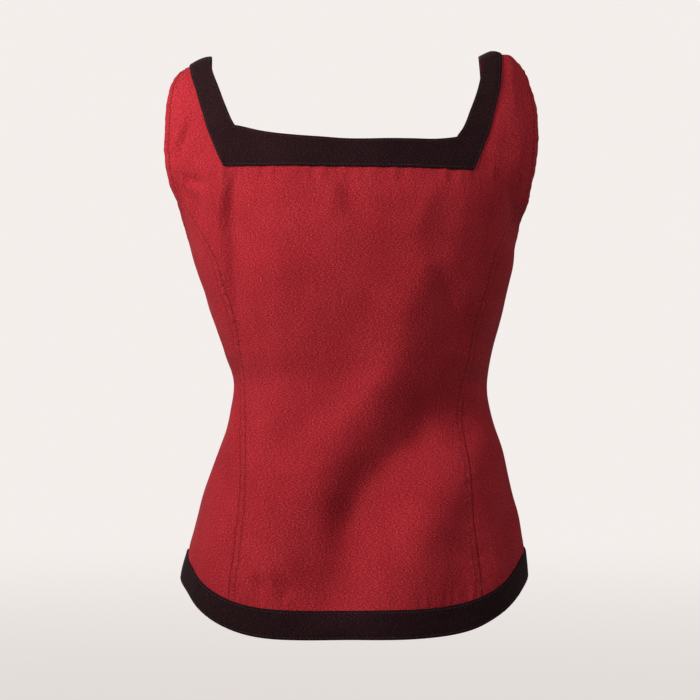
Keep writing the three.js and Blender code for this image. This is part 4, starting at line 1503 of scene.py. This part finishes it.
# %% Floor
PAPER = (0.905, 0.855, 0.835, 1)
FLOOR_PAINT = (0.80, 0.77, 0.75, 1)
FLOOR_GLOW = (0.80, 0.75, 0.73, 1)
FLOOR_GLOW_STRENGTH = 0.72
# in metres: its height, half its width, and the distances between which it fades into the background
FLOOR_LEVEL = -1.3
FLOOR_HALF = 9
FADE_START = 2.0
FADE_END = 8.5


def floor_piece():
    """A wide pale floor well below the hem, which fades into the paper behind it far away."""
    mesh = bpy.data.meshes.new("floor")
    corner_signs = [(-1, -1), (1, -1), (1, 1), (-1, 1)]
    points = [(x * FLOOR_HALF, y * FLOOR_HALF, FLOOR_LEVEL) for x, y in corner_signs]
    mesh.from_pydata(points, [], [(0, 1, 2, 3)])
    floor = bpy.data.objects.new("floor", mesh)
    bpy.context.scene.collection.objects.link(floor)
    material = bpy.data.materials.new("floor_paint")
    material.use_nodes = True
    tree = material.node_tree
    shader = tree.nodes["Principled BSDF"]
    shader.inputs["Base Color"].default_value = FLOOR_PAINT
    shader.inputs["Roughness"].default_value = 0.9
    shader.inputs["Emission Color"].default_value = FLOOR_GLOW
    shader.inputs["Emission Strength"].default_value = FLOOR_GLOW_STRENGTH
    where = add_node(tree, "ShaderNodeTexCoord")
    flat = add_node(tree, "ShaderNodeVectorMath", {1: (1, 1, 0)}, operation="MULTIPLY")
    away = add_node(tree, "ShaderNodeVectorMath", operation="LENGTH")
    far = add_node(tree, "ShaderNodeMapRange", {
        "From Min": FADE_START, "From Max": FADE_END,
    }, interpolation_type="SMOOTHSTEP")
    paper = add_node(tree, "ShaderNodeEmission", {"Color": PAPER})
    either = add_node(tree, "ShaderNodeMixShader")
    tree.links.new(where.outputs["Object"], flat.inputs[0])
    tree.links.new(flat.outputs[0], away.inputs[0])
    tree.links.new(away.outputs["Value"], far.inputs["Value"])
    tree.links.new(far.outputs[0], either.inputs[0])
    tree.links.new(shader.outputs[0], either.inputs[1])
    tree.links.new(paper.outputs[0], either.inputs[2])
    tree.links.new(either.outputs[0], tree.nodes["Material Output"].inputs["Surface"])
    mesh.materials.append(material)
    floor.visible_diffuse = False


floor_piece()
print("floor at", FLOOR_LEVEL, "m")

# %% [markdown]
# ## Light
#
# A small close lamp rakes the back from the wearer's left, so that its folds show. A larger one on the
# other side and one in front of the wearer keep the shadows open. The camera sees plain paper behind the
# bodice, while the cloth gets only a little light from all round.

# %% Lamps and surroundings
# name, place, what it points at, size, power, colour
LAMPS = [
    ("key", (0.80, 0.64, 0.25), (0.02, 0.05, -0.12), 0.35, 16.6, (1.0, 0.98, 0.96)),
    ("fill", (-1.15, 1.1, 1.0), (0, 0, -0.1), 1.0, 15.4, (0.98, 0.98, 1.0)),
    ("front_fill", (0.4, -2.4, 0.6), (0, 0, -0.3), 1.8, 40, (1.0, 0.99, 0.98)),
]
ROOM_LIGHT = (0.95, 0.90, 0.88, 1)
ROOM_STRENGTH = 0.17


def lamp(name, spot, aim, size, power, colour):
    """A square area lamp that points at a spot."""
    light = bpy.data.lights.new(name, "AREA")
    light.size = size
    light.energy = power
    light.color = colour
    holder = bpy.data.objects.new(name, light)
    bpy.context.scene.collection.objects.link(holder)
    holder.location = spot
    holder.rotation_euler = (Vector(aim) - Vector(spot)).to_track_quat("-Z", "Y").to_euler()
    holder.visible_camera = False


def surroundings():
    """Plain paper for the camera, and a weak even light for everything else."""
    world = bpy.data.worlds.new("studio")
    bpy.context.scene.world = world
    world.use_nodes = True
    sky = world.node_tree
    ambient = sky.nodes["Background"]
    ambient.inputs[0].default_value = ROOM_LIGHT
    ambient.inputs[1].default_value = ROOM_STRENGTH
    paper = add_node(sky, "ShaderNodeBackground", {"Color": PAPER, "Strength": 1.0})
    seen = add_node(sky, "ShaderNodeLightPath")
    either = add_node(sky, "ShaderNodeMixShader")
    sky.links.new(seen.outputs["Is Camera Ray"], either.inputs[0])
    sky.links.new(ambient.outputs[0], either.inputs[1])
    sky.links.new(paper.outputs[0], either.inputs[2])
    sky.links.new(either.outputs[0], sky.nodes["World Output"].inputs["Surface"])
    bpy.context.scene.view_settings.view_transform = "Standard"


for row in LAMPS:
    lamp(*row)
surroundings()
print("lamps", [row[0] for row in LAMPS])

# %% [markdown]
# ## Camera
#
# The camera looks square on at the back from two metres away through a long lens, so that the bodice shows
# almost without perspective.

# %% Camera
LENS = 99.86
SENSOR = 36
EYE = (-0.00048, 2.0, -0.2975)

lens = bpy.data.cameras.new("camera")
lens.lens = LENS
lens.sensor_width = SENSOR
eye = bpy.data.objects.new("camera", lens)
bpy.context.scene.collection.objects.link(eye)
eye.location = EYE
eye.rotation_euler = (np.pi / 2, 0, np.pi)
bpy.context.scene.camera = eye
print("camera at", EYE)
